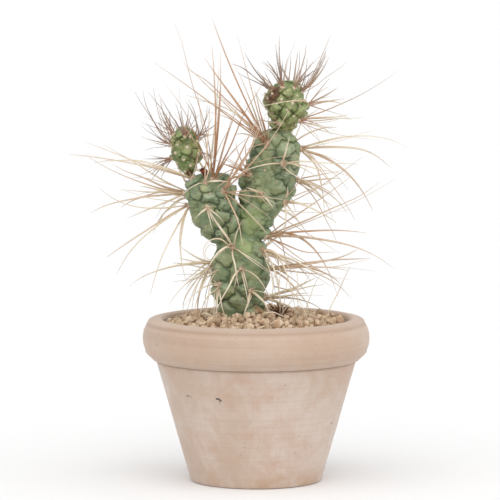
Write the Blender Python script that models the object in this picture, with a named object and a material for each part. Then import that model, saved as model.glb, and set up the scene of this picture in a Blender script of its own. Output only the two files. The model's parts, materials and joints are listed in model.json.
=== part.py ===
"""Potted paddle cactus: a clay pot of soil and gravel, and a branching cactus with long papery spines.

The pot stands on z = 0 with its axis on the Z axis, and the face that is looked at is turned to -Y.
The dimensions below are in millimetres. Every object is made in metres.
"""

import math
import random

import bmesh
import bpy
import numpy as np
from mathutils import Matrix, Vector
from mathutils.bvhtree import BVHTree

MM = 0.001
GAP = 0.35  # clearance between two pieces that rest on each other
FITTED_GAP = 0.5  # the same, where one piece is cut to fit another's bumpy skin

# Pot
POT_HEIGHT = 101.0
POT_BASE_RADIUS = 40.8
POT_NECK_RADIUS = 61.8  # body, just under the rim
RIM_RADIUS = 70.0
RIM_UNDERSIDE = 75.3  # height of the rim's lower edge
MOUTH_RADIUS = 57.4
FLOOR_THICKNESS = 8.0
FLOOR_RADIUS = 33.5  # inside, at the floor
DRAIN_RADIUS = 5.0
DRAIN_CIRCLE = 19.0
POT_SIDES = 48

# Fillings
SOIL_TOP = 90.0
GRAVEL_EDGE = 96.8  # top of the gravel where it meets the pot
GRAVEL_CROWN = 3.0  # how much higher it lies round the stem
GRAVEL_LUMP = 0.9
GRAVEL_SIDES = 40

GOLDEN_ANGLE = math.pi * (3 - math.sqrt(5))

# Cactus segments. Each has an axis that bends from foot through bend to tip, and radii along it.
# depth is the thickness front to back as a share of the width.
SEGMENTS = {
    "trunk": dict(
        foot=(-7.5, 2, 80), bend=(-10.5, 2, 118), tip=(-9.5, 2, 155), depth=0.92,
        radii=[(0, 4), (0.11, 9), (0.21, 12.6), (0.32, 14.2), (0.43, 15.2), (0.54, 16.4),
               (0.66, 16.8), (0.78, 16), (0.88, 13.8), (0.96, 9.5), (1, 6)],
        sides=26, rings=19, tubercles=38, swell=1.5, phase=0.3, cap=0.07,
    ),
    "left_branch": dict(
        foot=(-18, 1, 147), bend=(-28, 0, 169), tip=(-31.5, -1, 190.5), depth=0.85,
        radii=[(0, 8), (0.1, 9.5), (0.23, 11.8), (0.4, 14), (0.55, 15.3), (0.68, 15.2),
               (0.82, 13.4), (0.93, 11.6), (1, 9)],
        sides=26, rings=14, tubercles=34, swell=1.6, phase=1.4, cap=0.12,
    ),
    "right_branch": dict(
        foot=(-6, 4, 146), bend=(9, 3, 182), tip=(15, 2, 218), depth=0.8,
        radii=[(0, 6), (0.07, 8), (0.16, 10), (0.27, 12.2), (0.38, 13.9), (0.52, 15.8),
               (0.66, 16), (0.78, 15.4), (0.88, 13.6), (0.96, 11), (1, 8)],
        sides=26, rings=19, tubercles=50, swell=1.5, phase=2.2, cap=0.08,
    ),
    "left_shoot": dict(
        foot=(-40.5, -1, 185.5), bend=(-42.5, -1, 203), tip=(-46, -2, 219), depth=0.95,
        radii=[(0, 3), (0.2, 4.8), (0.4, 7.9), (0.58, 9.1), (0.78, 8.4), (0.92, 6.2), (1, 4.5)],
        sides=18, rings=11, tubercles=26, swell=1.5, phase=0.9, cap=0.16,
    ),
    "right_shoot": dict(
        foot=(17, 2, 214), bend=(19, 2, 232), tip=(18, 1, 247), depth=0.92,
        radii=[(0, 5), (0.2, 8.2), (0.4, 11.6), (0.58, 12.5), (0.78, 11), (0.92, 8.2), (1, 6)],
        sides=18, rings=12, tubercles=32, swell=1.7, phase=0.2, cap=0.15,
    ),
}
# Where a segment sits on another one, its foot is cut to fit it.
SITS_ON = {
    "left_branch": ["trunk"],
    "right_branch": ["trunk", "left_branch"],
    "left_shoot": ["left_branch"],
    "right_shoot": ["right_branch"],
}

DRIED_BUD = dict(centre=(-31.5, -7, 191.2), radii=(3.4, 2.4, 2.6), tilt=25)

# Areoles, and the spines that fan out of each. An areole is placed by the way it faces and its
# height: facing 0 is the front, 90 the right, 180 the back. A spine is (right, back, up, bow): its
# tip seen from the areole, and how far its middle is lifted above the straight line.
SPINES = {
    "trunk": [
        (-20, 146, [(-15, -9, 24, 0), (23, -12, -16, 0), (4, -7, -25, 2), (-16, -12, -15, 7),
                    (6, -5, 16, 2)]),
        (3, 132, [(-17, -14, -28, 9), (4, -8, -24, 1), (20, -12, -23, 11)]),
        (24, 119, [(-5, -8, -16, 2), (13, -10, -16, 4)]),
        (-48, 121, [(-6, -6, 2, 1), (-2, -8, -18, 2), (-13, -14, -17, 4)]),
        (-86, 134, [(-19, -3, 11, 0), (-50, -9, -13, 9), (-12, -9, -32, 5), (-8, 2, -34, 4)]),
        (58, 143, [(11, -10, -39, 8), (55, -14, -29, 3), (18, -16, -14, 6)]),
        (88, 131, [(54, -5, 12, -5), (62, 8, 5, 2), (26, -4, -30, 4), (45, 5, -12, 10)]),
        (80, 113, [(30, -12, 14, 2), (22, -8, -12, 3), (34, 10, -9, 7)]),
        (140, 138, [(20, 34, 10, 6), (4, 26, -24, 8), (34, 30, -20, 8)]),
        (-140, 127, [(-24, 28, -14, 8), (-4, 32, 12, 4), (-32, 20, 4, 3)]),
        (178, 115, [(6, 24, -12, 5), (-14, 22, -8, 5), (10, 30, 8, 2)]),
    ],
    "left_branch": [
        (-3, 185, [(-17, -9, -10, 4), (14, -8, 1, 1), (3, -6, 46, 0)]),
        (44, 180, [(37, -8, -5, 0), (27, -13, -26, 1), (44, -14, 58, -4), (22, -6, 40, 0)]),
        (30, 188, [(-1, -4, 80, -2), (4, 3, 76, 4), (32, 5, 62, 3)]),
        (-84, 177, [(-60, -4, 25, -5), (-44, 8, 18, 0), (-57, 4, -12, 4), (-26, -12, 6, 0)]),
        (-66, 171, [(-54, -12, 12, -12), (-43, -16, -41, 5), (-4, -10, -28, 1), (-1, -6, -46, 2)]),
        (-60, 187, [(-75, -8, 15, 1), (-67, 6, 22, -3), (-28, -14, 8, 2)]),
        (-12, 170, [(-8, -7, -6, 1), (10, -9, -9, 2)]),
        (170, 187, [(-8, 20, 52, 0), (6, 12, 66, 0), (-28, 26, 30, 4)]),
        (-130, 176, [(-38, 32, 8, 6), (-24, 22, -26, 6), (-44, 20, -10, 8)]),
        (172, 170, [(10, 36, 4, 6), (-16, 34, -16, 8), (-4, 26, 20, 2)]),
    ],
    "right_branch": [
        (-32, 209, [(-33, -8, 76, 0), (-38, 6, 52, 2), (-49, -10, 30, 9), (-14, -10, -5, 1)]),
        (25, 197, [(4, -6, 17, 0), (-28, -10, -5, 4), (46, -12, 0, 3), (41, -16, -7, 3)]),
        (84, 205, [(65, -4, 1, 14), (55, 6, -12, 12), (44, -8, -38, 11), (14, -9, -38, 11)]),
        (58, 174, [(14, -8, 23, 0), (0, -8, -19, 2), (2, -7, 9, 0), (32, -14, -13, 4)]),
        (72, 152, [(54, -6, 38, 6), (71, 2, 33, 0), (80, 6, -22, 14), (62, -10, 2, 6),
                   (45, 10, -40, 28)]),
        (-58, 190, [(-18, -12, 8, 1), (-20, -6, -8, 2), (-8, -9, 20, 0)]),
        (-12, 178, [(8, -9, -8, 2), (-9, -9, 5, 1)]),
        (84, 186, [(30, -2, -20, 6), (22, 6, -26, 8), (26, -6, 6, 2)]),
        (-150, 207, [(-30, 26, 40, 2), (-14, 34, 22, 4), (-52, 14, 50, 2)]),
        (152, 203, [(32, 32, 12, 8), (22, 38, -14, 10), (10, 28, 40, 0)]),
        (176, 186, [(0, 44, 10, 8), (-22, 36, -6, 8), (16, 34, -24, 10)]),
        (150, 167, [(40, 30, 14, 4), (26, 34, -22, 10), (6, 40, 2, 8)]),
    ],
    "left_shoot": [
        (-88, 208, [(-16, -2, 33, 0), (-14, 3, 13, 0), (-18, 1, 5, 0)]),
        (-50, 214, [(-9, -4, 17, 0), (-8, 2, 22, 0)]),
        (10, 213, [(-6, -6, 21, 0), (4, -5, 16, 0), (7, -9, 9, 0)]),
        (78, 211, [(5, 0, 21, 0), (8, -3, 13, 0), (-8, 3, 23, 0)]),
        (-84, 199, [(-18, -3, 0, 0), (-13, -5, -10, 0), (-14, 6, -4, 0)]),
        (50, 203, [(-5, -6, -18, 2), (10, -8, -2, 1)]),
        (176, 211, [(2, 11, 19, 0), (-9, 10, 14, 0), (8, 14, 4, 0)]),
    ],
    "right_shoot": [
        (-60, 241, [(-16, -4, 23, 0), (-9, -8, 14, 0), (-20, 2, 10, 0)]),
        (-14, 243, [(-4, -5, 22, 0), (-2, -3, 31, 0), (3, -9, 18, 0)]),
        (34, 243, [(3, -3, 23, 0), (7, 0, 26, 0)]),
        (72, 240, [(10, -4, 20, 0), (15, -1, 21, 0), (13, 4, 23, 0)]),
        (84, 231, [(19, -3, 11, 0), (23, 2, 0, 4), (-32, -17, -1, 5)]),
        (66, 222, [(60, -4, 31, 0), (30, -8, 4, 1), (20, -12, -8, 2)]),
        (-22, 221, [(-14, -9, 19, 0), (-17, -12, 2, 2)]),
        (160, 241, [(4, 12, 22, 0), (14, 12, 16, 0), (-8, 14, 16, 0)]),
        (180, 229, [(-4, 22, 4, 2), (12, 20, -4, 2), (-16, 16, 8, 0)]),
    ],
}
SPINE_WIDTH = {"trunk": 1.1, "left_branch": 1.1, "right_branch": 1.1, "left_shoot": 0.8,
               "right_shoot": 0.85}
TIP_WIDTH = 0.35
SPINE_RUNS = 6  # straight runs that make up one spine
SPINE_LIFT = 0.16  # how far a spine leans away from the skin, as a share of its length
AREOLE_RADIUS = {"trunk": 1.5, "left_branch": 1.5, "right_branch": 1.5, "left_shoot": 1.1,
                 "right_shoot": 1.2}
SPINE_CLEARANCE = 1.15  # between the middles of two spines
SKIN_CLEARANCE = 1.1  # between the middle of a spine and any other piece

COLOURS = {
    "clay": ((0.60, 0.43, 0.33), 0.85),
    "soil": ((0.10, 0.06, 0.04), 0.95),
    "gravel": ((0.56, 0.40, 0.27), 0.9),
    "old_skin": ((0.13, 0.22, 0.12), 0.5),
    "young_skin": ((0.16, 0.28, 0.08), 0.5),
    "straw": ((0.62, 0.47, 0.28), 0.6),
    "dark_spine": ((0.25, 0.17, 0.15), 0.6),
    "dried_bud": ((0.22, 0.05, 0.03), 0.7),
}


def clear_scene():
    for obj in list(bpy.data.objects):
        bpy.data.objects.remove(obj)


def material(name):
    found = bpy.data.materials.get(name)
    if found:
        return found
    colour, roughness = COLOURS[name]
    made = bpy.data.materials.new(name)
    made.use_nodes = True
    shader = made.node_tree.nodes["Principled BSDF"]
    shader.inputs["Base Color"].default_value = (*colour, 1)
    shader.inputs["Roughness"].default_value = roughness
    shader.inputs["Metallic"].default_value = 0
    return made


def add_object(name, bm, material_name, smooth_angle=60):
    """Puts a bmesh that was modelled in millimetres into the scene, in metres."""
    bmesh.ops.scale(bm, vec=(MM, MM, MM), verts=bm.verts)
    bmesh.ops.triangulate(bm, faces=bm.faces)
    bmesh.ops.recalc_face_normals(bm, faces=bm.faces)
    mesh = bpy.data.meshes.new(name)
    bm.to_mesh(mesh)
    bm.free()
    mesh.materials.append(material(material_name))
    mesh.shade_smooth()
    mesh.set_sharp_from_angle(angle=math.radians(smooth_angle))
    obj = bpy.data.objects.new(name, mesh)
    bpy.context.scene.collection.objects.link(obj)
    return obj


def turned(profile, sides):
    """A bmesh turned round the Z axis from (radius, height) points whose two ends lie on the axis."""
    bm = bmesh.new()
    first, *middle, last = profile
    rings = []
    for radius, height in middle:
        ring = []
        for i in range(sides):
            angle = 2 * math.pi * i / sides
            ring.append(bm.verts.new((radius * math.cos(angle), radius * math.sin(angle), height)))
        rings.append(ring)
    close_rings(bm, rings, (0, 0, first[1]), (0, 0, last[1]))
    return bm


def close_rings(bm, rings, start, end):
    """Joins rings of vertices into a closed skin, with a fan to a point at each end."""
    for ring, following in zip(rings, rings[1:]):
        for i in range(len(ring)):
            j = (i + 1) % len(ring)
            bm.faces.new((ring[i], ring[j], following[j], following[i]))
    for ring, point in ((rings[0], start), (rings[-1], end)):
        pole = bm.verts.new(point)
        for i in range(len(ring)):
            bm.faces.new((ring[i], ring[(i + 1) % len(ring)], pole))


def add_cutter(name, bm):
    obj = add_object(name, bm, "clay")
    obj.hide_render = True
    obj.display_type = "WIRE"
    return obj


def cut(obj, cutter):
    modifier = obj.modifiers.new("cut_" + cutter.name, "BOOLEAN")
    modifier.operation = "DIFFERENCE"
    modifier.solver = "EXACT"
    modifier.object = cutter


def inner_radius(height):
    """Radius of the pot's inner wall."""
    share = (height - FLOOR_THICKNESS) / (POT_HEIGHT - 4 - FLOOR_THICKNESS)
    return FLOOR_RADIUS + share * (MOUTH_RADIUS - 0.4 - FLOOR_RADIUS)


def rim_arc(centre, radii, start, end, steps):
    """Points of an elliptical arc, with angles in degrees from the +radius direction."""
    points = []
    for i in range(steps + 1):
        angle = math.radians(start + (end - start) * i / steps)
        points.append((centre[0] + radii[0] * math.cos(angle), centre[1] + radii[1] * math.sin(angle)))
    return points


def build_pot():
    band = rim_arc((RIM_RADIUS - 9, 88), (9, 13), -38, 50, 5)
    lip = rim_arc((MOUTH_RADIUS + 3, POT_HEIGHT - 2.2), (3, 2.2), 70, 180, 4)
    profile = [(0, 0), (POT_BASE_RADIUS - 1.5, 0), (POT_BASE_RADIUS, 1.5)]
    profile += [(POT_NECK_RADIUS, RIM_UNDERSIDE), (POT_NECK_RADIUS + 1.4, RIM_UNDERSIDE)]
    profile += band + lip
    profile += [(inner_radius(POT_HEIGHT - 12), POT_HEIGHT - 12), (FLOOR_RADIUS + 1, FLOOR_THICKNESS + 3)]
    profile += [(FLOOR_RADIUS - 2, FLOOR_THICKNESS), (0, FLOOR_THICKNESS)]
    pot = add_object("pot", turned(profile, POT_SIDES), "clay", smooth_angle=40)
    for i in range(3):
        bm = bmesh.new()
        angle = math.radians(90 + 120 * i)
        place = (DRAIN_CIRCLE * math.cos(angle), DRAIN_CIRCLE * math.sin(angle), FLOOR_THICKNESS / 2)
        bmesh.ops.create_cone(bm, cap_ends=True, segments=16, radius1=DRAIN_RADIUS, radius2=DRAIN_RADIUS,
                              depth=3 * FLOOR_THICKNESS, matrix=Matrix.Translation(place))
        cut(pot, add_cutter(f"drain_cutter_{i + 1}", bm))
    return pot


def build_soil():
    floor = FLOOR_THICKNESS + GAP
    corner = floor + 3
    profile = [(0, floor), (FLOOR_RADIUS - 2.6, floor), (inner_radius(corner) - 1.2, corner)]
    profile += [(inner_radius(SOIL_TOP) - 3.2 * GAP, SOIL_TOP), (0, SOIL_TOP)]
    return add_object("potting_soil", turned(profile, POT_SIDES), "soil", smooth_angle=40)


def build_gravel():
    """The top dressing: a bed whose surface is lumpy with the crumbs lying in it."""
    dice = random.Random(7)
    bottom = SOIL_TOP + GAP
    edge = inner_radius(bottom) - 3.2 * GAP
    rings = []
    shares = (0.5, 1.0)
    for share, height in ((shares[0], bottom), (shares[1], bottom), (1.012, GRAVEL_EDGE)):
        rings.append((share * edge, height, 0.0))
    for share in (0.9, 0.78, 0.66, 0.54, 0.42, 0.3, 0.16):
        rings.append((share * edge, GRAVEL_EDGE + GRAVEL_CROWN * (1 - share**2), GRAVEL_LUMP))
    bm = bmesh.new()
    made = []
    for n, (radius, height, lump) in enumerate(rings):
        ring = []
        for i in range(GRAVEL_SIDES):
            angle = 2 * math.pi * (i + 0.5 * (n % 2)) / GRAVEL_SIDES
            z = height + lump * dice.uniform(-1, 1)
            ring.append(bm.verts.new((radius * math.cos(angle), radius * math.sin(angle), z)))
        made.append(ring)
    close_rings(bm, made, (0, 0, bottom), (0, 0, GRAVEL_EDGE + GRAVEL_CROWN))
    return add_object("gravel", bm, "gravel", smooth_angle=20)


def smooth_through(points, x):
    """A smooth curve through (x, y) points, with no overshoot between them."""
    xs, ys = (np.array(column, float) for column in zip(*points))
    slopes = np.diff(ys) / np.diff(xs)
    same_way = slopes[:-1] * slopes[1:] > 0
    total = np.where(same_way, slopes[:-1] + slopes[1:], 1)
    tangents = np.zeros(len(xs))
    tangents[1:-1] = np.where(same_way, 2 * slopes[:-1] * slopes[1:] / total, 0)
    tangents[0], tangents[-1] = slopes[0], slopes[-1]
    i = np.clip(np.searchsorted(xs, x, side="right") - 1, 0, len(xs) - 2)
    width = xs[i + 1] - xs[i]
    s = (x - xs[i]) / width
    return (
        (1 + 2 * s) * (1 - s) ** 2 * ys[i] + s * (1 - s) ** 2 * width * tangents[i]
        + s * s * (3 - 2 * s) * ys[i + 1] + s * s * (s - 1) * width * tangents[i + 1]
    )


def bezier(a, b, c, s):
    """A point of the curve that leaves a towards b and arrives at c."""
    a, b, c = (np.array(p, float) for p in (a, b, c))
    s = np.asarray(s, float)[..., None]
    return (1 - s) ** 2 * a + 2 * s * (1 - s) * b + s * s * c


def radius_along(segment, along):
    """Radius of a segment at a share of its length, closed at both ends by round caps."""
    cap = segment["cap"]
    near_end = np.minimum(along, 1 - along) / cap
    roundness = np.sqrt(1 - (1 - np.clip(near_end, 0, 1)) ** 2)
    return smooth_through(segment["radii"], along) * roundness


def skin_point(segment, along, turn):
    """A point of the plain skin, and the way out from the axis there."""
    middle = bezier(segment["foot"], segment["bend"], segment["tip"], along)
    ahead = bezier(segment["foot"], segment["bend"], segment["tip"], along + 0.01)
    axis = ahead - middle
    axis /= np.linalg.norm(axis, axis=-1, keepdims=True)
    back = np.array([0.0, 1.0, 0.0])
    side = np.cross(back, axis)
    side /= np.linalg.norm(side, axis=-1, keepdims=True)
    depth = np.cross(axis, side)
    out = side * np.sin(turn)[..., None] - depth * (segment["depth"] * np.cos(turn))[..., None]
    return middle + radius_along(segment, along)[..., None] * out, out


def tubercle_points(segment):
    """The centres of the tubercles, wound round the segment at the golden angle."""
    along = np.linspace(0.001, 0.999, 400)
    girth = np.cumsum(radius_along(segment, along) + 0.8)
    girth /= girth[-1]
    count = segment["tubercles"]
    shares = np.interp((np.arange(count) + 0.5) / count, girth, along)
    turns = np.arange(count) * GOLDEN_ANGLE + segment["phase"]
    return skin_point(segment, shares, turns)[0]


def swelling(points, centres, swell):
    """How far tubercles push the skin out: full at their centres, nothing in the grooves."""
    distances = np.linalg.norm(points[..., None, :] - centres, axis=-1)
    nearest = np.sort(distances, axis=-1)[..., :2]
    groove = np.clip((nearest[..., 1] - nearest[..., 0]) / 4.0, 0, 1)
    return swell * (groove * (2 - groove) * 1.3 - 0.8)


def build_segment(name):
    segment = SEGMENTS[name]
    rings, sides = segment["rings"], segment["sides"]
    along = (1 - np.cos(np.pi * (np.arange(rings) + 0.55) / (rings + 0.1))) / 2
    turn = 2 * np.pi * np.arange(sides) / sides
    grid_along, grid_turn = np.meshgrid(along, turn, indexing="ij")
    points, out = skin_point(segment, grid_along, grid_turn)
    push = swelling(points, tubercle_points(segment), segment["swell"])
    points = points + out * push[..., None]
    bm = bmesh.new()
    made = [[bm.verts.new(p) for p in ring] for ring in points]
    close_rings(bm, made, segment["foot"], segment["tip"])
    skin = "young_skin" if name.endswith("shoot") else "old_skin"
    return add_object(name, bm, skin)


def add_fitted_cutter(obj):
    """A cutter that stands FITTED_GAP proud of an object all over."""
    bm = bmesh.new()
    bm.from_mesh(obj.data)
    bmesh.ops.scale(bm, vec=(1 / MM, 1 / MM, 1 / MM), verts=bm.verts)
    bm.normal_update()
    for vert in bm.verts:
        vert.co += vert.normal * FITTED_GAP
    return add_cutter(obj.name + "_cutter", bm)


def build_dried_bud():
    bm = bmesh.new()
    bmesh.ops.create_icosphere(bm, subdivisions=2, radius=1)
    tilt = Matrix.Rotation(math.radians(DRIED_BUD["tilt"]), 4, "Y")
    size = Matrix.Diagonal((*DRIED_BUD["radii"], 1))
    place = Matrix.Translation(DRIED_BUD["centre"])
    bm.transform(place @ tilt @ size)
    return add_object("dried_bud", bm, "dried_bud")


def nearest_skin(obj):
    """A search tree of an object as it stands, in millimetres."""
    graph = bpy.context.evaluated_depsgraph_get()
    evaluated = obj.evaluated_get(graph)
    mesh = evaluated.to_mesh()
    points = [v.co / MM for v in mesh.vertices]
    faces = [tuple(p.vertices) for p in mesh.polygons]
    evaluated.to_mesh_clear()
    return BVHTree.FromPolygons(points, faces)


def areole_place(segment, tree, facing, height):
    """The point of the skin that faces this way at this height, and the direction out of it."""
    along = (height - segment["foot"][2]) / (segment["tip"][2] - segment["foot"][2])
    middle = Vector(bezier(segment["foot"], segment["bend"], segment["tip"], along))
    turn = math.radians(facing)
    way = Vector((math.sin(turn), -math.cos(turn), 0))
    point, normal, _, _ = tree.ray_cast(middle + way * 60, -way)
    normal = (normal + way).normalized()
    return point, normal


def spine_curves(fans, trees):
    """Start, middle and end of every spine, as an array of (spine, 3, 3), and its fan's number."""
    curves, fan_of = [], []
    for number, (name, facing, height, tips) in enumerate(fans):
        point, normal = areole_place(SEGMENTS[name], trees[name], facing, height)
        start = np.array(point + normal * (GAP + 0.5 * AREOLE_RADIUS[name]))
        for right, back, up, bow in tips:
            tip = np.array([right, back, up], float)
            lean = np.array(normal) * SPINE_LIFT * np.linalg.norm(tip)
            bend = start + tip / 2 + lean + np.array([0, 0, bow])
            curves.append([start, bend, start + tip])
            fan_of.append(number)
    return np.array(curves), np.array(fan_of)


def along_spines(curves, steps):
    """Points along every spine, as an array of (spine, steps + 1, 3)."""
    s = np.linspace(0, 1, steps + 1)
    weights = np.stack([(1 - s) ** 2, 2 * s * (1 - s), s * s], axis=1)
    return np.einsum("sk,nkd->nsd", weights, curves), weights


def part_spines(curves, fan_of, obstacles, steps=16, rounds=60):
    """Moves spines apart where they would cross a spine of another fan, or enter another piece."""
    first, second = np.triu_indices(len(curves), 1)
    strangers = fan_of[first] != fan_of[second]
    first, second = first[strangers], second[strangers]
    for _ in range(rounds):
        points, weights = along_spines(curves, steps)
        low, high = points.min(axis=1), points.max(axis=1)
        near = np.all((low[first] - high[second] < 2) & (low[second] - high[first] < 2), axis=1)
        push = np.zeros_like(curves)
        clashes = 0
        for i, j in zip(first[near], second[near]):
            a, b, distance, apart = closest_runs(points[i], points[j])
            if distance >= SPINE_CLEARANCE:
                continue
            clashes += 1
            shift = apart * (SPINE_CLEARANCE + 0.1 - distance) / 2
            push[i] += bend_by(weights, a, shift)
            push[j] += bend_by(weights, b, -shift)
        for i in range(len(curves)):
            for k in range(3, steps + 1):
                shift = way_out(points[i, k], obstacles)
                if shift is not None:
                    clashes += 1
                    push[i] += bend_by(weights, k, shift) * 0.5
        curves[:, 1:] += push[:, 1:]
        if not clashes:
            break
    return curves


def closest_runs(a, b):
    """Where two spines come nearest: the point number on each, the distance, and the way apart."""
    u, v = a[1:] - a[:-1], b[1:] - b[:-1]
    w = a[:-1, None] - b[None, :-1]
    uu, vv, uv = (u * u).sum(1)[:, None], (v * v).sum(1)[None], u @ v.T
    uw = np.einsum("id,ijd->ij", u, w)
    vw = np.einsum("jd,ijd->ij", v, w)
    det = np.maximum(uu * vv - uv * uv, 1e-9)
    s = np.clip((uv * vw - vv * uw) / det, 0, 1)
    t = np.clip((uv * s + vw) / vv, 0, 1)
    s = np.clip((uv * t - uw) / uu, 0, 1)
    between = w + s[..., None] * u[:, None] - t[..., None] * v[None]
    distance = np.linalg.norm(between, axis=-1)
    i, j = np.unravel_index(distance.argmin(), distance.shape)
    apart = between[i, j]
    if distance[i, j] < 1e-6:
        apart = np.cross(u[i], v[j])
    return i + round(s[i, j]), j + round(t[i, j]), distance[i, j], apart / np.linalg.norm(apart)


def bend_by(weights, k, shift):
    """The change of a curve's bend and tip that moves its point k by shift."""
    w = weights[k].copy()
    w[0] = 0
    w = w / max((w * w).sum(), 0.05)
    return w[:, None] * shift


def way_out(point, obstacles):
    """The move that brings a point clear of every other piece, or None."""
    for tree in obstacles:
        found, normal, _, distance = tree.find_nearest(Vector(point), 12)
        if found is None:
            continue
        away = Vector(point) - found
        inside = away.dot(normal) < 0
        if inside:
            return np.array(normal * (SKIN_CLEARANCE + distance))
        if distance < SKIN_CLEARANCE:
            return np.array(away.normalized() * (SKIN_CLEARANCE + 0.1 - distance))
    return None


def areole_frame(direction):
    return Vector(direction).to_track_quat("Z", "Y").to_matrix().to_4x4()


def build_fan(node, name, start, normal, spines):
    """One areole with its spines: a small cushion whose faces are drawn out into the spines."""
    bm = bmesh.new()
    radius = AREOLE_RADIUS[name]
    flat = Matrix.Diagonal((radius, radius, radius * 0.42, 1))
    place = Matrix.Translation(start) @ areole_frame(normal) @ flat
    bmesh.ops.create_icosphere(bm, subdivisions=1, radius=1)
    bm.transform(place)
    bm.normal_update()
    free = [f for f in bm.faces if f.normal.dot(Vector(normal)) > 0.1]
    for spine in spines:
        way = Vector(spine[1] - spine[0]).normalized()
        face = max(free, key=lambda f: f.normal.dot(way))
        free.remove(face)
        draw_out(bm, face, spine, SPINE_WIDTH[name])
    skin = "dark_spine" if name.endswith("shoot") else "straw"
    return add_object(node, bm, skin, smooth_angle=30)


def draw_out(bm, face, spine, width):
    """Replaces a triangle by a three-sided spine that follows the points and ends in a point."""
    last = list(face.verts)
    root = face.calc_center_median()
    corners = [(v.co - root).normalized() for v in last]
    bm.faces.remove(face)
    shift = np.array(root) - spine[0]
    count = len(spine) - 1
    for k in range(count):
        fade = (1 - k / count) ** 1.5
        centre = Vector(spine[k] + shift * fade)
        way = Vector(spine[k + 1] - spine[max(k - 1, 0)]).normalized()
        size = (width + (TIP_WIDTH - width) * (k / count)) / math.sqrt(3)
        flat = [(c - way * c.dot(way)).normalized() for c in corners]
        if k == 0:
            centre += way * 0.25
        ring = [bm.verts.new(centre + c * size) for c in flat]
        corners = flat
        for i in range(3):
            j = (i + 1) % 3
            bm.faces.new((last[i], last[j], ring[j], ring[i]))
        last = ring
    point = bm.verts.new(spine[-1])
    for i in range(3):
        bm.faces.new((last[i], last[(i + 1) % 3], point))


def build_spines(objects):
    trees = {name: nearest_skin(objects[name]) for name in objects}
    fans = [(name, *fan) for name, listed in SPINES.items() for fan in listed]
    curves, fan_of = spine_curves(fans, trees)
    obstacles = [trees[name] for name in objects]
    curves = part_spines(curves, fan_of, obstacles)
    points, _ = along_spines(curves, SPINE_RUNS)
    counts = {}
    for number, (name, facing, height, _) in enumerate(fans):
        counts[name] = counts.get(name, 0) + 1
        _, normal = areole_place(SEGMENTS[name], trees[name], facing, height)
        spines = points[fan_of == number]
        build_fan(f"spines_{name}_{counts[name]:02d}", name, spines[0][0], normal, spines)


def main():
    clear_scene()
    objects = {"pot": build_pot(), "potting_soil": build_soil(), "gravel": build_gravel()}
    for name in SEGMENTS:
        objects[name] = build_segment(name)
    objects["dried_bud"] = build_dried_bud()
    cutters = {name: add_fitted_cutter(objects[name]) for name in SEGMENTS}
    cut(objects["potting_soil"], cutters["trunk"])
    cut(objects["gravel"], cutters["trunk"])
    for name, below in SITS_ON.items():
        for other in below:
            cut(objects[name], cutters[other])
    cut(objects["dried_bud"], cutters["left_branch"])
    bpy.context.view_layer.update()
    build_spines(objects)


main()
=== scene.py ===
# Potted paddle cactus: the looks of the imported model
import json
import math
import random

import bmesh
import bpy
import numpy as np
from mathutils import Matrix, Vector, noise
from mathutils.bvhtree import BVHTree

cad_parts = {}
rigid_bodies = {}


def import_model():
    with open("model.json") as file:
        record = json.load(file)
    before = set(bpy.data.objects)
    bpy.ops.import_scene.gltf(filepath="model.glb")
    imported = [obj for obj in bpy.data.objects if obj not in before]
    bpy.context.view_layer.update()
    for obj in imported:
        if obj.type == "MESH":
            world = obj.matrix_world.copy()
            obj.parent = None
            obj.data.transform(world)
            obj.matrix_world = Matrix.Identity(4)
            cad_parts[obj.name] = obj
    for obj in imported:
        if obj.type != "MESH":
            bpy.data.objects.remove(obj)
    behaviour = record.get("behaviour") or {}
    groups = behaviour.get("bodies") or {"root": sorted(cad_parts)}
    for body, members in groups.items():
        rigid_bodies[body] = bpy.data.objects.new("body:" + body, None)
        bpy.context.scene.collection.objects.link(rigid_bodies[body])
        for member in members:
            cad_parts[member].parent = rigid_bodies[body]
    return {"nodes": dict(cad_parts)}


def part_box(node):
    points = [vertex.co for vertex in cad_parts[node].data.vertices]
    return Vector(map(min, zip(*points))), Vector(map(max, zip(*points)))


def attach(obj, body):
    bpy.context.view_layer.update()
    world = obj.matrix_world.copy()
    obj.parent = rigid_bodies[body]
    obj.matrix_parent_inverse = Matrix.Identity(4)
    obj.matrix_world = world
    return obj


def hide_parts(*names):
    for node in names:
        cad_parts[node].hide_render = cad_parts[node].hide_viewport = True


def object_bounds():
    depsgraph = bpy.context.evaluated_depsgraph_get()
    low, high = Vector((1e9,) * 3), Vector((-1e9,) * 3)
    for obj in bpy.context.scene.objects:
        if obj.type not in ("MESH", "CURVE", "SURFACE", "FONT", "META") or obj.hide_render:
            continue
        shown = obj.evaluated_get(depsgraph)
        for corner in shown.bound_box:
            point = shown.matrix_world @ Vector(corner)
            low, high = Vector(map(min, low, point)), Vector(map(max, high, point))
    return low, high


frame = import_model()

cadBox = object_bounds()
mm = 0.001


def report(stage):
    print("scene:", stage)


# camera, first

cameraLook = dict(place=(-0.00376, -2.30, 0.3687), pitchDown=0.098, lens=270.1, sensor=36.0)


def makeCamera(look):
    camera = bpy.data.cameras.new("camera")
    camera.sensor_width = look["sensor"]
    camera.lens = look["lens"]
    camera.clip_start, camera.clip_end = 0.1, 100
    holder = bpy.data.objects.new("camera", camera)
    holder.location = look["place"]
    holder.rotation_euler = (math.pi / 2 - look["pitchDown"], 0, 0)
    bpy.context.scene.collection.objects.link(holder)
    bpy.context.scene.camera = holder


makeCamera(cameraLook)
report("camera")


# small helpers for meshes

def linkNew(name, mesh):
    piece = bpy.data.objects.new(name, mesh)
    bpy.context.scene.collection.objects.link(piece)
    return piece


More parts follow.
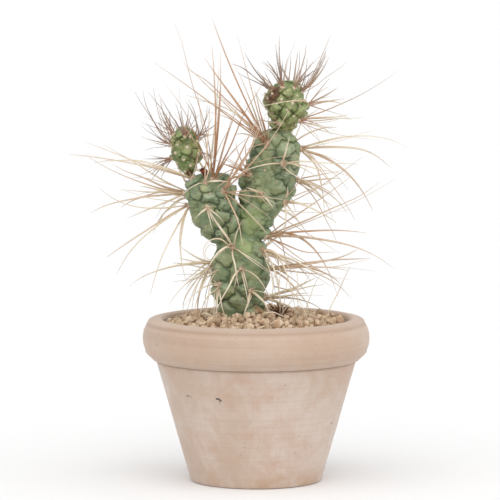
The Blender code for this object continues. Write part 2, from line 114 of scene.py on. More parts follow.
def meshFromGrid(name, points, attributes, startPole, endPole):
    # rings of points (ring, side, xyz) in mm become a closed skin with a pole at each end
    rings, sides = points.shape[:2]
    verts = np.concatenate([points.reshape(-1, 3), [startPole, endPole]]) * mm
    ring = np.arange(rings - 1)[:, None] * sides
    side = np.arange(sides)[None, :]
    after = (side + 1) % sides
    quads = np.stack([ring + side, ring + after, ring + sides + after, ring + sides + side], axis=-1)
    faces = [tuple(q) for q in quads.reshape(-1, 4).tolist()]
    first, last = rings * sides, rings * sides + 1
    for i in range(sides):
        j = (i + 1) % sides
        faces.append((first, j, i))
        faces.append(((rings - 1) * sides + i, (rings - 1) * sides + j, last))
    mesh = bpy.data.meshes.new(name)
    mesh.from_pydata(verts.tolist(), [], faces)
    for key, values in attributes.items():
        values = np.concatenate([values.reshape(-1), [values[0].mean(), values[-1].mean()]])
        layer = mesh.attributes.new(key, "FLOAT", "POINT")
        layer.data.foreach_set("value", values.astype(np.float32))
    mesh.shade_smooth()
    return mesh


def curveThrough(points, count):
    # a smooth curve through a few points, even in its own parameter
    points = np.asarray(points, float)
    slopes = np.gradient(points, axis=0)
    s = np.linspace(0, len(points) - 1, count)
    i = np.minimum(s.astype(int), len(points) - 2)
    t = (s - i)[:, None]
    return ((1 + 2 * t) * (1 - t) ** 2 * points[i] + t * (1 - t) ** 2 * slopes[i]
            + t * t * (3 - 2 * t) * points[i + 1] + t * t * (t - 1) * slopes[i + 1])


def noiseAt(points, size, seed=0.0):
    # soft noise from -1 to 1 at points in mm, with lumps about size mm wide
    flat = (points.reshape(-1, 3) / size + seed).tolist()
    values = np.array([noise.noise(p) for p in flat])
    return values.reshape(points.shape[:-1])


def smoothStep(low, high, x):
    t = np.clip((x - low) / (high - low), 0, 1)
    return t * t * (3 - 2 * t)


# small helpers for node trees

def addNode(tree, kind, **settings):
    made = tree.nodes.new(kind)
    for name, value in settings.items():
        setattr(made, name, value)
    return made


def feed(tree, source, socket):
    if isinstance(source, bpy.types.NodeSocket):
        tree.links.new(source, socket)
    else:
        socket.default_value = source


def paint(red, green, blue):
    # a colour as seen on a screen, 0 to 255, made linear
    parts = [c / 255 for c in (red, green, blue)]
    return tuple(c / 12.92 if c <= 0.04045 else ((c + 0.055) / 1.055) ** 2.4 for c in parts) + (1.0,)


def mathNode(tree, way, first, second=0.0, clamp=False):
    made = addNode(tree, "ShaderNodeMath", operation=way, use_clamp=clamp)
    feed(tree, first, made.inputs[0])
    feed(tree, second, made.inputs[1])
    return made.outputs[0]


def mixColour(tree, factor, first, second, way="MIX"):
    made = addNode(tree, "ShaderNodeMix", data_type="RGBA", blend_type=way)
    feed(tree, factor, made.inputs[0])
    feed(tree, first, made.inputs[6])
    feed(tree, second, made.inputs[7])
    return made.outputs[2]


def ramp(tree, factor, stops):
    made = addNode(tree, "ShaderNodeValToRGB")
    elements = made.color_ramp.elements
    while len(elements) < len(stops):
        elements.new(0.5)
    for element, (place, colour) in zip(elements, stops):
        element.position = place
        element.color = colour
    feed(tree, factor, made.inputs[0])
    return made.outputs[0]


def masked(tree, value, low, high):
    # 0 below low, 1 above high, soft between them
    made = addNode(tree, "ShaderNodeMapRange", interpolation_type="SMOOTHSTEP")
    feed(tree, value, made.inputs[0])
    made.inputs[1].default_value = low
    made.inputs[2].default_value = high
    return made.outputs[0]


def attributeValue(tree, name):
    return addNode(tree, "ShaderNodeAttribute", attribute_name=name).outputs["Fac"]


def ownPlace(tree, stretch=(1, 1, 1)):
    # the piece's own coordinates in metres, stretched
    place = addNode(tree, "ShaderNodeTexCoord").outputs["Object"]
    if stretch == (1, 1, 1):
        return place
    mapping = addNode(tree, "ShaderNodeMapping")
    mapping.inputs["Scale"].default_value = stretch
    tree.links.new(place, mapping.inputs["Vector"])
    return mapping.outputs[0]


# effects that several materials share, each a node group

def newShaderGroup(name, inputs, outputs):
    tree = bpy.data.node_groups.new(name, "ShaderNodeTree")
    for label, kind, value in inputs:
        socket = tree.interface.new_socket(label, in_out="INPUT", socket_type=kind)
        if value is not None:
            socket.default_value = value
    for label, kind in outputs:
        tree.interface.new_socket(label, in_out="OUTPUT", socket_type=kind)
    return tree, addNode(tree, "NodeGroupInput").outputs, addNode(tree, "NodeGroupOutput").inputs


def makeCloudGroup():
    # a soft mask of cloudy patches: broad noise and a finer, warped noise together
    tree, given, out = newShaderGroup("cloudyPatches", [
        ("Vector", "NodeSocketVector", None), ("Scale", "NodeSocketFloat", 40.0),
        ("Warp", "NodeSocketFloat", 0.6), ("Low", "NodeSocketFloat", 0.45),
        ("High", "NodeSocketFloat", 0.65)], [("Mask", "NodeSocketFloat")])
    broad = addNode(tree, "ShaderNodeTexNoise")
    broad.inputs["Detail"].default_value = 4
    tree.links.new(given["Vector"], broad.inputs["Vector"])
    tree.links.new(given["Scale"], broad.inputs["Scale"])
    fine = addNode(tree, "ShaderNodeTexNoise")
    fine.inputs["Detail"].default_value = 6
    fine.inputs["Roughness"].default_value = 0.6
    tree.links.new(given["Vector"], fine.inputs["Vector"])
    tree.links.new(mathNode(tree, "MULTIPLY", given["Scale"], 3.1), fine.inputs["Scale"])
    tree.links.new(given["Warp"], fine.inputs["Distortion"])
    both = mathNode(tree, "ADD", mathNode(tree, "MULTIPLY", broad.outputs[0], 0.62),
                    mathNode(tree, "MULTIPLY", fine.outputs[0], 0.38))
    edge = addNode(tree, "ShaderNodeMapRange", interpolation_type="SMOOTHSTEP")
    tree.links.new(both, edge.inputs[0])
    tree.links.new(given["Low"], edge.inputs[1])
    tree.links.new(given["High"], edge.inputs[2])
    tree.links.new(edge.outputs[0], out["Mask"])
    return tree


def makeSpeckGroup():
    # sparse small round specks
    tree, given, out = newShaderGroup("smallSpecks", [
        ("Vector", "NodeSocketVector", None), ("Scale", "NodeSocketFloat", 500.0),
        ("Size", "NodeSocketFloat", 0.2), ("Share", "NodeSocketFloat", 0.2)],
        [("Mask", "NodeSocketFloat")])
    cells = addNode(tree, "ShaderNodeTexVoronoi")
    tree.links.new(given["Vector"], cells.inputs["Vector"])
    tree.links.new(given["Scale"], cells.inputs["Scale"])
    apart = addNode(tree, "ShaderNodeSeparateColor")
    tree.links.new(cells.outputs["Color"], apart.inputs[0])
    chosen = mathNode(tree, "LESS_THAN", apart.outputs[0], given["Share"])
    reach = mathNode(tree, "MULTIPLY", given["Size"], mathNode(tree, "ADD", apart.outputs[1], 0.4))
    near = mathNode(tree, "DIVIDE", mathNode(tree, "SUBTRACT", reach, cells.outputs["Distance"]),
                    given["Size"], clamp=True)
    tree.links.new(mathNode(tree, "MULTIPLY", chosen, near), out["Mask"])
    return tree


def makeGrainGroup():
    # a fine rough grain, as a height
    tree, given, out = newShaderGroup("roughGrain", [
        ("Vector", "NodeSocketVector", None), ("Scale", "NodeSocketFloat", 1500.0),
        ("Pits", "NodeSocketFloat", 0.5)], [("Height", "NodeSocketFloat")])
    grain = addNode(tree, "ShaderNodeTexNoise")
    grain.inputs["Detail"].default_value = 5
    grain.inputs["Roughness"].default_value = 0.65
    tree.links.new(given["Vector"], grain.inputs["Vector"])
    tree.links.new(given["Scale"], grain.inputs["Scale"])
    cells = addNode(tree, "ShaderNodeTexVoronoi")
    tree.links.new(given["Vector"], cells.inputs["Vector"])
    tree.links.new(mathNode(tree, "MULTIPLY", given["Scale"], 0.45), cells.inputs["Scale"])
    pit = mathNode(tree, "MULTIPLY", masked(tree, cells.outputs["Distance"], 0.0, 0.35), given["Pits"])
    tree.links.new(mathNode(tree, "ADD", grain.outputs[0], pit), out["Height"])
    return tree


def makeStainGroup():
    # one ragged spot at a place, reaching so far each way
    tree, given, out = newShaderGroup("localStain", [
        ("Vector", "NodeSocketVector", None), ("Centre", "NodeSocketVector", None),
        ("Reach", "NodeSocketVector", None)], [("Mask", "NodeSocketFloat")])
    away = addNode(tree, "ShaderNodeVectorMath", operation="SUBTRACT")
    tree.links.new(given["Vector"], away.inputs[0])
    tree.links.new(given["Centre"], away.inputs[1])
    shrunk = addNode(tree, "ShaderNodeVectorMath", operation="DIVIDE")
    tree.links.new(away.outputs[0], shrunk.inputs[0])
    tree.links.new(given["Reach"], shrunk.inputs[1])
    length = addNode(tree, "ShaderNodeVectorMath", operation="LENGTH")
    tree.links.new(shrunk.outputs[0], length.inputs[0])
    fray = addNode(tree, "ShaderNodeTexNoise")
    fray.inputs["Scale"].default_value = 900.0
    fray.inputs["Detail"].default_value = 3
    tree.links.new(given["Vector"], fray.inputs["Vector"])
    frayed = mathNode(tree, "ADD", length.outputs["Value"], mathNode(tree, "MULTIPLY", fray.outputs[0], 1.1))
    tree.links.new(masked(tree, frayed, 1.6, 1.0), out["Mask"])
    return tree


localStain = makeStainGroup()
cloudyPatches = makeCloudGroup()
smallSpecks = makeSpeckGroup()
roughGrain = makeGrainGroup()


def useGroup(tree, group, vector, **values):
    made = addNode(tree, "ShaderNodeGroup", node_tree=group)
    tree.links.new(vector, made.inputs["Vector"])
    for label, value in values.items():
        made.inputs[label].default_value = value
    return made.outputs[0]


def newMaterial(name):
    made = bpy.data.materials.new(name)
    made.use_nodes = True
    shader = made.node_tree.nodes["Principled BSDF"]
    shader.inputs["Metallic"].default_value = 0
    return made, made.node_tree, shader


def addBump(tree, shader, height, distance, strength=1.0):
    bump = addNode(tree, "ShaderNodeBump")
    bump.inputs["Strength"].default_value = strength
    bump.inputs["Distance"].default_value = distance
    tree.links.new(height, bump.inputs["Height"])
    tree.links.new(bump.outputs[0], shader.inputs["Normal"])


# materials

clayLook = dict(body=paint(189, 166, 148), pale=paint(208, 196, 186), pink=paint(189, 155, 134),
                ochre=paint(186, 157, 132), rim=paint(188, 161, 139), shade=paint(140, 112, 92),
                nick=paint(84, 72, 62), wallFoot=40.8, wallFlare=21.0, wallTop=75.4,
                # dark spots on the wall: angle from the front, height, reach across, reach up, strength
                spots=[(-47.0, 57.2, 2.3, 0.5, 0.75), (-44.3, 56.8, 0.9, 0.4, 0.5),
                       (-23.9, 57.1, 2.2, 0.7, 1.0), (-22.5, 56.1, 1.2, 0.7, 0.9),
                       (-23.2, 54.4, 0.5, 1.6, 0.45), (17, 66, 1.0, 0.5, 0.35),
                       (64, 38, 1.6, 0.8, 0.6), (141, 61, 2.4, 0.6, 0.8), (-152, 33, 1.8, 1.0, 0.6)])


def makeClay(look):
    made, tree, shader = newMaterial("limedClay")
    place = ownPlace(tree)
    apart = addNode(tree, "ShaderNodeSeparateXYZ")
    tree.links.new(place, apart.inputs[0])
    onRim = masked(tree, apart.outputs[2], 0.0745, 0.0765)
    blotches = useGroup(tree, cloudyPatches, place, Scale=26.0, Warp=1.4, Low=0.44, High=0.60)
    colour = mixColour(tree, mathNode(tree, "MULTIPLY", blotches, 0.8), look["body"], look["pink"])
    streaks = useGroup(tree, cloudyPatches, ownPlace(tree, (1, 1, 0.8)), Scale=24.0, Warp=1.1,
                       Low=0.36, High=0.68)
    colour = mixColour(tree, mathNode(tree, "MULTIPLY", streaks, 0.8), colour, look["pale"])
    wisps = useGroup(tree, cloudyPatches, ownPlace(tree, (1.2, 1.2, 1.0)), Scale=52.0, Warp=1.8,
                     Low=0.52, High=0.72)
    colour = mixColour(tree, mathNode(tree, "MULTIPLY", wisps, 0.5), colour, look["pink"])
    colour = mixColour(tree, mathNode(tree, "MULTIPLY", onRim, 0.6), colour, look["rim"])
    footStain = masked(tree, apart.outputs[2], 0.014, 0.001)
    footPatch = useGroup(tree, cloudyPatches, place, Scale=45.0, Warp=0.8, Low=0.42, High=0.6)
    colour = mixColour(tree, mathNode(tree, "MULTIPLY", footStain, footPatch), colour, look["ochre"])
    broad = mathNode(tree, "MULTIPLY", onRim, 0.22)
    for stretch, share, tone in (((4, 4, 240), broad, "shade"), ((9, 9, 900), 0.18, "ochre")):
        lines = addNode(tree, "ShaderNodeTexNoise")  # turning marks, broad ones and fine ones
        lines.inputs["Scale"].default_value = 1.0
        lines.inputs["Detail"].default_value = 4
        tree.links.new(ownPlace(tree, stretch), lines.inputs["Vector"])
        lineMask = masked(tree, lines.outputs[0], 0.42, 0.7)
        colour = mixColour(tree, mathNode(tree, "MULTIPLY", lineMask, share), colour, look[tone])
    specks = useGroup(tree, smallSpecks, place, Scale=420.0, Size=0.26, Share=0.10)
    colour = mixColour(tree, mathNode(tree, "MULTIPLY", specks, 0.45), colour, look["shade"])
    chalk = useGroup(tree, smallSpecks, place, Scale=900.0, Size=0.3, Share=0.16)
    colour = mixColour(tree, mathNode(tree, "MULTIPLY", chalk, 0.4), colour, look["pale"])
    # painted shade in the creases and along the foot's bottom edge
    colour = mixColour(tree, attributeValue(tree, "creaseShade"), colour, look["shade"])
    colour = mixColour(tree, attributeValue(tree, "nickStain"), colour, look["nick"])
    dent = None
    for angle, tall, across, up, strength in look["spots"]:
        radius = (look["wallFoot"] + look["wallFlare"] * tall / look["wallTop"]) * mm
        turned = math.radians(angle)
        centre = (radius * math.sin(turned), -radius * math.cos(turned), tall * mm)
        spot = mathNode(tree, "MULTIPLY", strength, useGroup(
            tree, localStain, place, Centre=centre, Reach=(across * mm, across * mm, up * mm)))
        colour = mixColour(tree, spot, colour, look["nick"])
        dent = mathNode(tree, "ADD", dent, spot) if dent else spot
    tree.links.new(colour, shader.inputs["Base Color"])
    tree.links.new(ramp(tree, streaks, [(0, (0.86, 0.86, 0.86, 1)), (1, (0.94, 0.94, 0.94, 1))]),
                   shader.inputs["Roughness"])
    shader.inputs["Specular IOR Level"].default_value = 0.35
    shader.inputs["Sheen Weight"].default_value = 0.32
    shader.inputs["Sheen Roughness"].default_value = 0.5
    grain = useGroup(tree, roughGrain, place, Scale=1300.0, Pits=0.5)
    height = mathNode(tree, "ADD", grain, mathNode(tree, "MULTIPLY", lines.outputs[0], 1.2))
    height = mathNode(tree, "SUBTRACT", height, mathNode(tree, "MULTIPLY", dent, 2.5))
    addBump(tree, shader, height, 0.00018, 0.85)
    return made


skinLook = dict(
    old=dict(body=paint(112, 130, 94), light=paint(166, 177, 148), dull=paint(146, 150, 104),
             fresh=paint(148, 162, 102), groove=paint(48, 62, 42), cork=paint(186, 146, 106),
             freckle=paint(184, 186, 138), rough=(0.36, 0.6)),
    young=dict(body=paint(116, 136, 82), light=paint(172, 182, 128), dull=paint(146, 140, 92),
               fresh=paint(116, 152, 80), groove=paint(50, 52, 36), cork=paint(88, 62, 48),
               freckle=paint(204, 200, 158), rough=(0.34, 0.52)))


def makeSkin(name, look):
    made, tree, shader = newMaterial(name)
    place = ownPlace(tree)
    patches = useGroup(tree, cloudyPatches, place, Scale=85.0, Warp=0.8, Low=0.42, High=0.62)
    colour = mixColour(tree, mathNode(tree, "MULTIPLY", patches, 0.75), look["body"], look["dull"])
    shady = useGroup(tree, cloudyPatches, ownPlace(tree, (1, 1, 1.5)), Scale=130.0, Warp=0.6,
                     Low=0.48, High=0.66)
    colour = mixColour(tree, mathNode(tree, "MULTIPLY", shady, 0.45), colour, look["groove"])
    colour = mixColour(tree, attributeValue(tree, "freshGrowth"), colour, look["fresh"])
    bloom = useGroup(tree, cloudyPatches, place, Scale=230.0, Warp=0.5, Low=0.36, High=0.62)
    # waxy bloom on the tops of the tubercles: the bloom's own pale colour together with a painted highlight
    # on their upper sides
    bloomWithPaintedHighlight = mathNode(tree, "MULTIPLY", bloom, attributeValue(tree, "paintedCrestLight"))
    colour = mixColour(tree, mathNode(tree, "MULTIPLY", bloomWithPaintedHighlight, 0.85), colour, look["light"])
    scars = addNode(tree, "ShaderNodeTexNoise")
    scars.inputs["Scale"].default_value = 1.0
    scars.inputs["Detail"].default_value = 3
    tree.links.new(ownPlace(tree, (210, 210, 900)), scars.inputs["Vector"])
    scar = masked(tree, scars.outputs[0], 0.62, 0.72)
    colour = mixColour(tree, mathNode(tree, "MULTIPLY", scar, 0.35), colour, look["freckle"])
    freckles = useGroup(tree, smallSpecks, place, Scale=620.0, Size=0.34, Share=0.22)
    colour = mixColour(tree, mathNode(tree, "MULTIPLY", freckles, 0.34), colour, look["freckle"])
    darker = useGroup(tree, smallSpecks, place, Scale=330.0, Size=0.22, Share=0.07)
    colour = mixColour(tree, mathNode(tree, "MULTIPLY", darker, 0.5), colour, look["groove"])
    colour = mixColour(tree, attributeValue(tree, "paleScar"), colour, look["freckle"])
    # painted shade in the grooves and creases, darkest under each tubercle
    colour = mixColour(tree, attributeValue(tree, "groove"), colour, look["groove"])
    bark = useGroup(tree, cloudyPatches, place, Scale=300.0, Warp=0.9, Low=0.3, High=0.7)
    corkTone = mixColour(tree, bark, look["cork"], paint(118, 86, 58))
    colour = mixColour(tree, attributeValue(tree, "corkiness"), colour, corkTone)
    tree.links.new(colour, shader.inputs["Base Color"])
    low, high = look["rough"]
    tree.links.new(ramp(tree, bloom, [(0, (low, low, low, 1)), (1, (high, high, high, 1))]),
                   shader.inputs["Roughness"])
    shader.inputs["Specular IOR Level"].default_value = 0.4
    shader.inputs["Subsurface Weight"].default_value = 0.06
    shader.inputs["Subsurface Radius"].default_value = (0.5, 1.0, 0.25)
    shader.inputs["Subsurface Scale"].default_value = 0.0015
    pores = useGroup(tree, roughGrain, place, Scale=1100.0, Pits=0.7)
    addBump(tree, shader, pores, 0.00016, 0.55)
    return made


spineLook = dict(
    straw=dict(root=paint(158, 116, 84), low=paint(208, 188, 158), middle=paint(230, 218, 194),
               tip=paint(204, 188, 168), brown=paint(182, 134, 98), brownTip=paint(206, 182, 160)),
    dark=dict(root=paint(192, 140, 110), low=paint(160, 128, 112), middle=paint(142, 124, 120),
              tip=paint(180, 170, 168), brown=paint(206, 184, 152), brownTip=paint(218, 204, 180)))


def makeSpineMaterial(name, look):
    # alongSpine runs from 0 at the root to 1 at the tip, and brownness is chosen for each spine
    made, tree, shader = newMaterial(name)
    along = attributeValue(tree, "alongSpine")
    plain = ramp(tree, along, [(0.0, look["root"]), (0.07, look["low"]), (0.4, look["middle"]),
                               (1.0, look["tip"])])
    brown = ramp(tree, along, [(0.0, look["root"]), (0.35, look["brown"]), (1.0, look["brownTip"])])
    colour = mixColour(tree, attributeValue(tree, "brownness"), plain, brown)
    fibre = addNode(tree, "ShaderNodeTexNoise")
    fibre.inputs["Scale"].default_value = 420.0
    fibre.inputs["Detail"].default_value = 3
    tree.links.new(ownPlace(tree), fibre.inputs["Vector"])
    worn = masked(tree, fibre.outputs[0], 0.52, 0.72)
    colour = mixColour(tree, mathNode(tree, "MULTIPLY", worn, 0.4), colour, look["low"], "MULTIPLY")
    tree.links.new(colour, shader.inputs["Base Color"])
    shader.inputs["Roughness"].default_value = 0.55
    shader.inputs["Specular IOR Level"].default_value = 0.35
    addBump(tree, shader, fibre.outputs[0], 0.0001, 0.5)
    return made


def makeWool(name, light, dusky):
    made, tree, shader = newMaterial(name)
    patches = useGroup(tree, cloudyPatches, ownPlace(tree), Scale=420.0, Warp=0.6, Low=0.35, High=0.65)
    tree.links.new(mixColour(tree, patches, light, dusky), shader.inputs["Base Color"])
    shader.inputs["Roughness"].default_value = 0.92
    fuzz = useGroup(tree, roughGrain, ownPlace(tree), Scale=5200.0, Pits=0.2)
    addBump(tree, shader, fuzz, 0.00015, 0.7)
    return made


gravelColours = dict(low=paint(170, 142, 112), middle=paint(206, 180, 149), high=paint(224, 204, 178),
                     rosy=paint(204, 172, 142), dust=paint(230, 214, 192), dark=paint(92, 66, 46))


def makeGravelMaterial(look):
    made, tree, shader = newMaterial("bakedClayCrumbs")
    place = ownPlace(tree)
    tone = attributeValue(tree, "crumbTone")
    colour = ramp(tree, tone, [(0.0, look["low"]), (0.25, look["middle"]), (0.65, look["rosy"]),
                               (0.8, look["middle"]), (1.0, look["high"])])
    dusty = useGroup(tree, cloudyPatches, place, Scale=260.0, Warp=0.6, Low=0.42, High=0.66)
    colour = mixColour(tree, mathNode(tree, "MULTIPLY", dusty, 0.45), colour, look["dust"])
    pores = useGroup(tree, smallSpecks, place, Scale=800.0, Size=0.36, Share=0.34)
    colour = mixColour(tree, mathNode(tree, "MULTIPLY", pores, 0.6), colour, look["dark"])
    # painted shadow: the bed between the crumbs is darkened
    colour = mixColour(tree, attributeValue(tree, "bedShade"), colour, look["dark"])
    tree.links.new(colour, shader.inputs["Base Color"])
    shader.inputs["Roughness"].default_value = 0.95
    shader.inputs["Specular IOR Level"].default_value = 0.2
    grain = useGroup(tree, roughGrain, place, Scale=1500.0, Pits=1.0)
    addBump(tree, shader, grain, 0.0005, 0.9)
    return made


def makeSoilMaterial():
    made, tree, shader = newMaterial("darkPottingSoil")
    place = ownPlace(tree)
    crumbs = useGroup(tree, cloudyPatches, place, Scale=300.0, Warp=1.0, Low=0.35, High=0.65)
    colour = mixColour(tree, crumbs, paint(46, 32, 24), paint(88, 66, 48))
    bits = useGroup(tree, smallSpecks, place, Scale=260.0, Size=0.3, Share=0.12)
    colour = mixColour(tree, bits, colour, paint(176, 168, 156))
    tree.links.new(colour, shader.inputs["Base Color"])
    shader.inputs["Roughness"].default_value = 0.95
    addBump(tree, shader, useGroup(tree, roughGrain, place, Scale=420.0, Pits=1.0), 0.001, 1.0)
    return made


def makeDriedMaterial(name, stops, dark):
    made, tree, shader = newMaterial(name)
    place = ownPlace(tree)
    patches = useGroup(tree, cloudyPatches, place, Scale=480.0, Warp=1.2, Low=0.35, High=0.62)
    colour = ramp(tree, attributeValue(tree, "alongSpine"), stops)
    colour = mixColour(tree, mathNode(tree, "MULTIPLY", patches, 0.6), colour, dark)
    tree.links.new(colour, shader.inputs["Base Color"])
    shader.inputs["Roughness"].default_value = 0.7
    addBump(tree, shader, useGroup(tree, roughGrain, place, Scale=2400.0, Pits=0.6), 0.0002, 0.8)
    return made


clay = makeClay(clayLook)
oldSkin = makeSkin("waxyOldSkin", skinLook["old"])
youngSkin = makeSkin("waxyYoungSkin", skinLook["young"])
strawSpine = makeSpineMaterial("strawSpine", spineLook["straw"])
darkSpine = makeSpineMaterial("darkYoungSpine", spineLook["dark"])
areoleWool = makeWool("areoleWool", paint(214, 194, 168), paint(170, 140, 114))
youngWool = makeWool("youngAreoleWool", paint(232, 222, 200), paint(200, 176, 148))
crumbClay = makeGravelMaterial(gravelColours)
witheredRed = makeDriedMaterial("witheredBud", [
    (0.0, paint(96, 34, 20)), (0.5, paint(142, 52, 32)), (0.85, paint(196, 104, 62)),
    (1.0, paint(212, 150, 102))], paint(64, 24, 16))
driedBrown = makeDriedMaterial("driedTuft", [
    (0.0, paint(84, 50, 34)), (0.6, paint(126, 84, 56)), (1.0, paint(182, 142, 106))], paint(58, 34, 24))
report("materials")


# geometry node trees

def newGeometryTree(name, inputs):
    tree = bpy.data.node_groups.new(name, "GeometryNodeTree")
    tree.interface.new_socket("Geometry", in_out="INPUT", socket_type="NodeSocketGeometry")
    for label, kind, value in inputs:
        socket = tree.interface.new_socket(label, in_out="INPUT", socket_type=kind)
        if value is not None:
            socket.default_value = value
    tree.interface.new_socket("Geometry", in_out="OUTPUT", socket_type="NodeSocketGeometry")
    return tree, addNode(tree, "NodeGroupInput").outputs, addNode(tree, "NodeGroupOutput").inputs


def namedValue(tree, name, kind="FLOAT"):
    made = addNode(tree, "GeometryNodeInputNamedAttribute", data_type=kind)
    made.inputs["Name"].default_value = name
    return made.outputs["Attribute"]


def finishTree(tree, geometry, material, out):
    # every tree ends in real meshes with one material
    real = addNode(tree, "GeometryNodeRealizeInstances")
    tree.links.new(geometry, real.inputs[0])
    painted = addNode(tree, "GeometryNodeSetMaterial")
    tree.links.new(real.outputs[0], painted.inputs["Geometry"])
    tree.links.new(material, painted.inputs["Material"])
    tree.links.new(painted.outputs[0], out["Geometry"])


def throughTree(name, mesh, tree, values):
    # runs a mesh through a tree and returns the plain mesh that comes out
    holder = linkNew(name, mesh)
    modifier = holder.modifiers.new("nodes", "NODES")
    modifier.node_group = tree
    for item in tree.interface.items_tree:
        if item.item_type == "SOCKET" and item.in_out == "INPUT" and item.name in values:
            modifier[item.identifier] = values[item.name]
    holder.update_tag()
    bpy.context.view_layer.update()
    evaluated = holder.evaluated_get(bpy.context.evaluated_depsgraph_get())
    made = bpy.data.meshes.new_from_object(evaluated)
    made.name = name
    bpy.data.objects.remove(holder)
    return made


def makeLatheTree():
    # turns a half outline in the XZ plane round the Z axis, with the slight waver of a thrown pot
    tree, given, out = newGeometryTree("latheTree", [
        ("Sides", "NodeSocketInt", 240), ("Path Radius", "NodeSocketFloat", 0.05),
        ("Waver", "NodeSocketFloat", 0.0002), ("Waver Scale", "NodeSocketFloat", 22.0),
        ("Ridges", "NodeSocketFloat", 0.00006), ("Material", "NodeSocketMaterial", None)])
    outline = addNode(tree, "GeometryNodeMeshToCurve")
    tree.links.new(given["Geometry"], outline.inputs["Mesh"])
    ring = addNode(tree, "GeometryNodeCurvePrimitiveCircle")
    tree.links.new(given["Sides"], ring.inputs["Resolution"])
    tree.links.new(given["Path Radius"], ring.inputs["Radius"])
    swept = addNode(tree, "GeometryNodeCurveToMesh")
    tree.links.new(ring.outputs["Curve"], swept.inputs["Curve"])
    tree.links.new(outline.outputs[0], swept.inputs["Profile Curve"])
    closed = addNode(tree, "GeometryNodeMergeByDistance")
    closed.inputs["Distance"].default_value = 0.00001
    tree.links.new(swept.outputs[0], closed.inputs["Geometry"])
    place = addNode(tree, "GeometryNodeInputPosition").outputs[0]
    slow = addNode(tree, "ShaderNodeTexNoise")
    slow.inputs["Detail"].default_value = 2
    tree.links.new(place, slow.inputs["Vector"])
    tree.links.new(given["Waver Scale"], slow.inputs["Scale"])
    squeezed = addNode(tree, "ShaderNodeVectorMath", operation="MULTIPLY")
    tree.links.new(place, squeezed.inputs[0])
    squeezed.inputs[1].default_value = (12, 12, 420)
    fast = addNode(tree, "ShaderNodeTexNoise")
    fast.inputs["Scale"].default_value = 1.0
    fast.inputs["Detail"].default_value = 3
    tree.links.new(squeezed.outputs[0], fast.inputs["Vector"])
    slowPush = mathNode(tree, "MULTIPLY", mathNode(tree, "SUBTRACT", slow.outputs[0], 0.5), given["Waver"])
    fastPush = mathNode(tree, "MULTIPLY", mathNode(tree, "SUBTRACT", fast.outputs[0], 0.5), given["Ridges"])
    push = mathNode(tree, "MULTIPLY", mathNode(tree, "ADD", slowPush, fastPush), 2.0)
    apart = addNode(tree, "ShaderNodeSeparateXYZ")
    tree.links.new(place, apart.inputs[0])
    above = mathNode(tree, "MULTIPLY", apart.outputs[2], 700.0, clamp=True)  # the foot stays flat
    offset = addNode(tree, "ShaderNodeVectorMath", operation="SCALE")
    tree.links.new(addNode(tree, "GeometryNodeInputNormal").outputs[0], offset.inputs[0])
    tree.links.new(mathNode(tree, "MULTIPLY", push, above), offset.inputs["Scale"])
    moved = addNode(tree, "GeometryNodeSetPosition")
    tree.links.new(closed.outputs[0], moved.inputs["Geometry"])
    tree.links.new(offset.outputs[0], moved.inputs["Offset"])
    smooth = addNode(tree, "GeometryNodeSetShadeSmooth")
    tree.links.new(moved.outputs[0], smooth.inputs["Geometry"])
    finishTree(tree, smooth.outputs[0], given["Material"], out)
    return tree


def makeScatterTree():
    # puts one of several small shapes on each point, turned and sized by the point's own values
    tree, given, out = newGeometryTree("scatterTree", [
        ("Shapes", "NodeSocketCollection", None), ("Seed", "NodeSocketInt", 1),
        ("Squash", "NodeSocketFloat", 0.85), ("Follow Normal", "NodeSocketFloat", 0.0),
        ("Material", "NodeSocketMaterial", None)])
    shapes = addNode(tree, "GeometryNodeCollectionInfo")
    shapes.inputs["Separate Children"].default_value = True
    shapes.inputs["Reset Children"].default_value = True
    tree.links.new(given["Shapes"], shapes.inputs["Collection"])
    turn = addNode(tree, "FunctionNodeRandomValue", data_type="FLOAT_VECTOR")
    turn.inputs[0].default_value = (-math.pi, -math.pi, -math.pi)
    turn.inputs[1].default_value = (math.pi, math.pi, math.pi)
    tree.links.new(given["Seed"], turn.inputs["Seed"])
    spun = addNode(tree, "FunctionNodeEulerToRotation")
    tree.links.new(turn.outputs[0], spun.inputs[0])
    upright = addNode(tree, "FunctionNodeAlignRotationToVector", axis="Z")
    tree.links.new(spun.outputs[0], upright.inputs["Rotation"])
    tree.links.new(given["Follow Normal"], upright.inputs["Factor"])
    tree.links.new(namedValue(tree, "wayOut", "FLOAT_VECTOR"), upright.inputs["Vector"])
    pick = addNode(tree, "FunctionNodeRandomValue", data_type="INT")
    pick.inputs[5].default_value = 99
    tree.links.new(mathNode(tree, "ADD", given["Seed"], 7.0), pick.inputs["Seed"])
    size = addNode(tree, "ShaderNodeCombineXYZ")
    grown = namedValue(tree, "grownSize")
    for i in range(2):
        tree.links.new(grown, size.inputs[i])
    tree.links.new(mathNode(tree, "MULTIPLY", grown, given["Squash"]), size.inputs[2])
    placed = addNode(tree, "GeometryNodeInstanceOnPoints")
    placed.inputs["Pick Instance"].default_value = True
    tree.links.new(given["Geometry"], placed.inputs["Points"])
    tree.links.new(shapes.outputs[0], placed.inputs["Instance"])
    tree.links.new(pick.outputs[2], placed.inputs["Instance Index"])
    tree.links.new(upright.outputs[0], placed.inputs["Rotation"])
    tree.links.new(size.outputs[0], placed.inputs["Scale"])
    finishTree(tree, placed.outputs[0], given["Material"], out)
    return tree


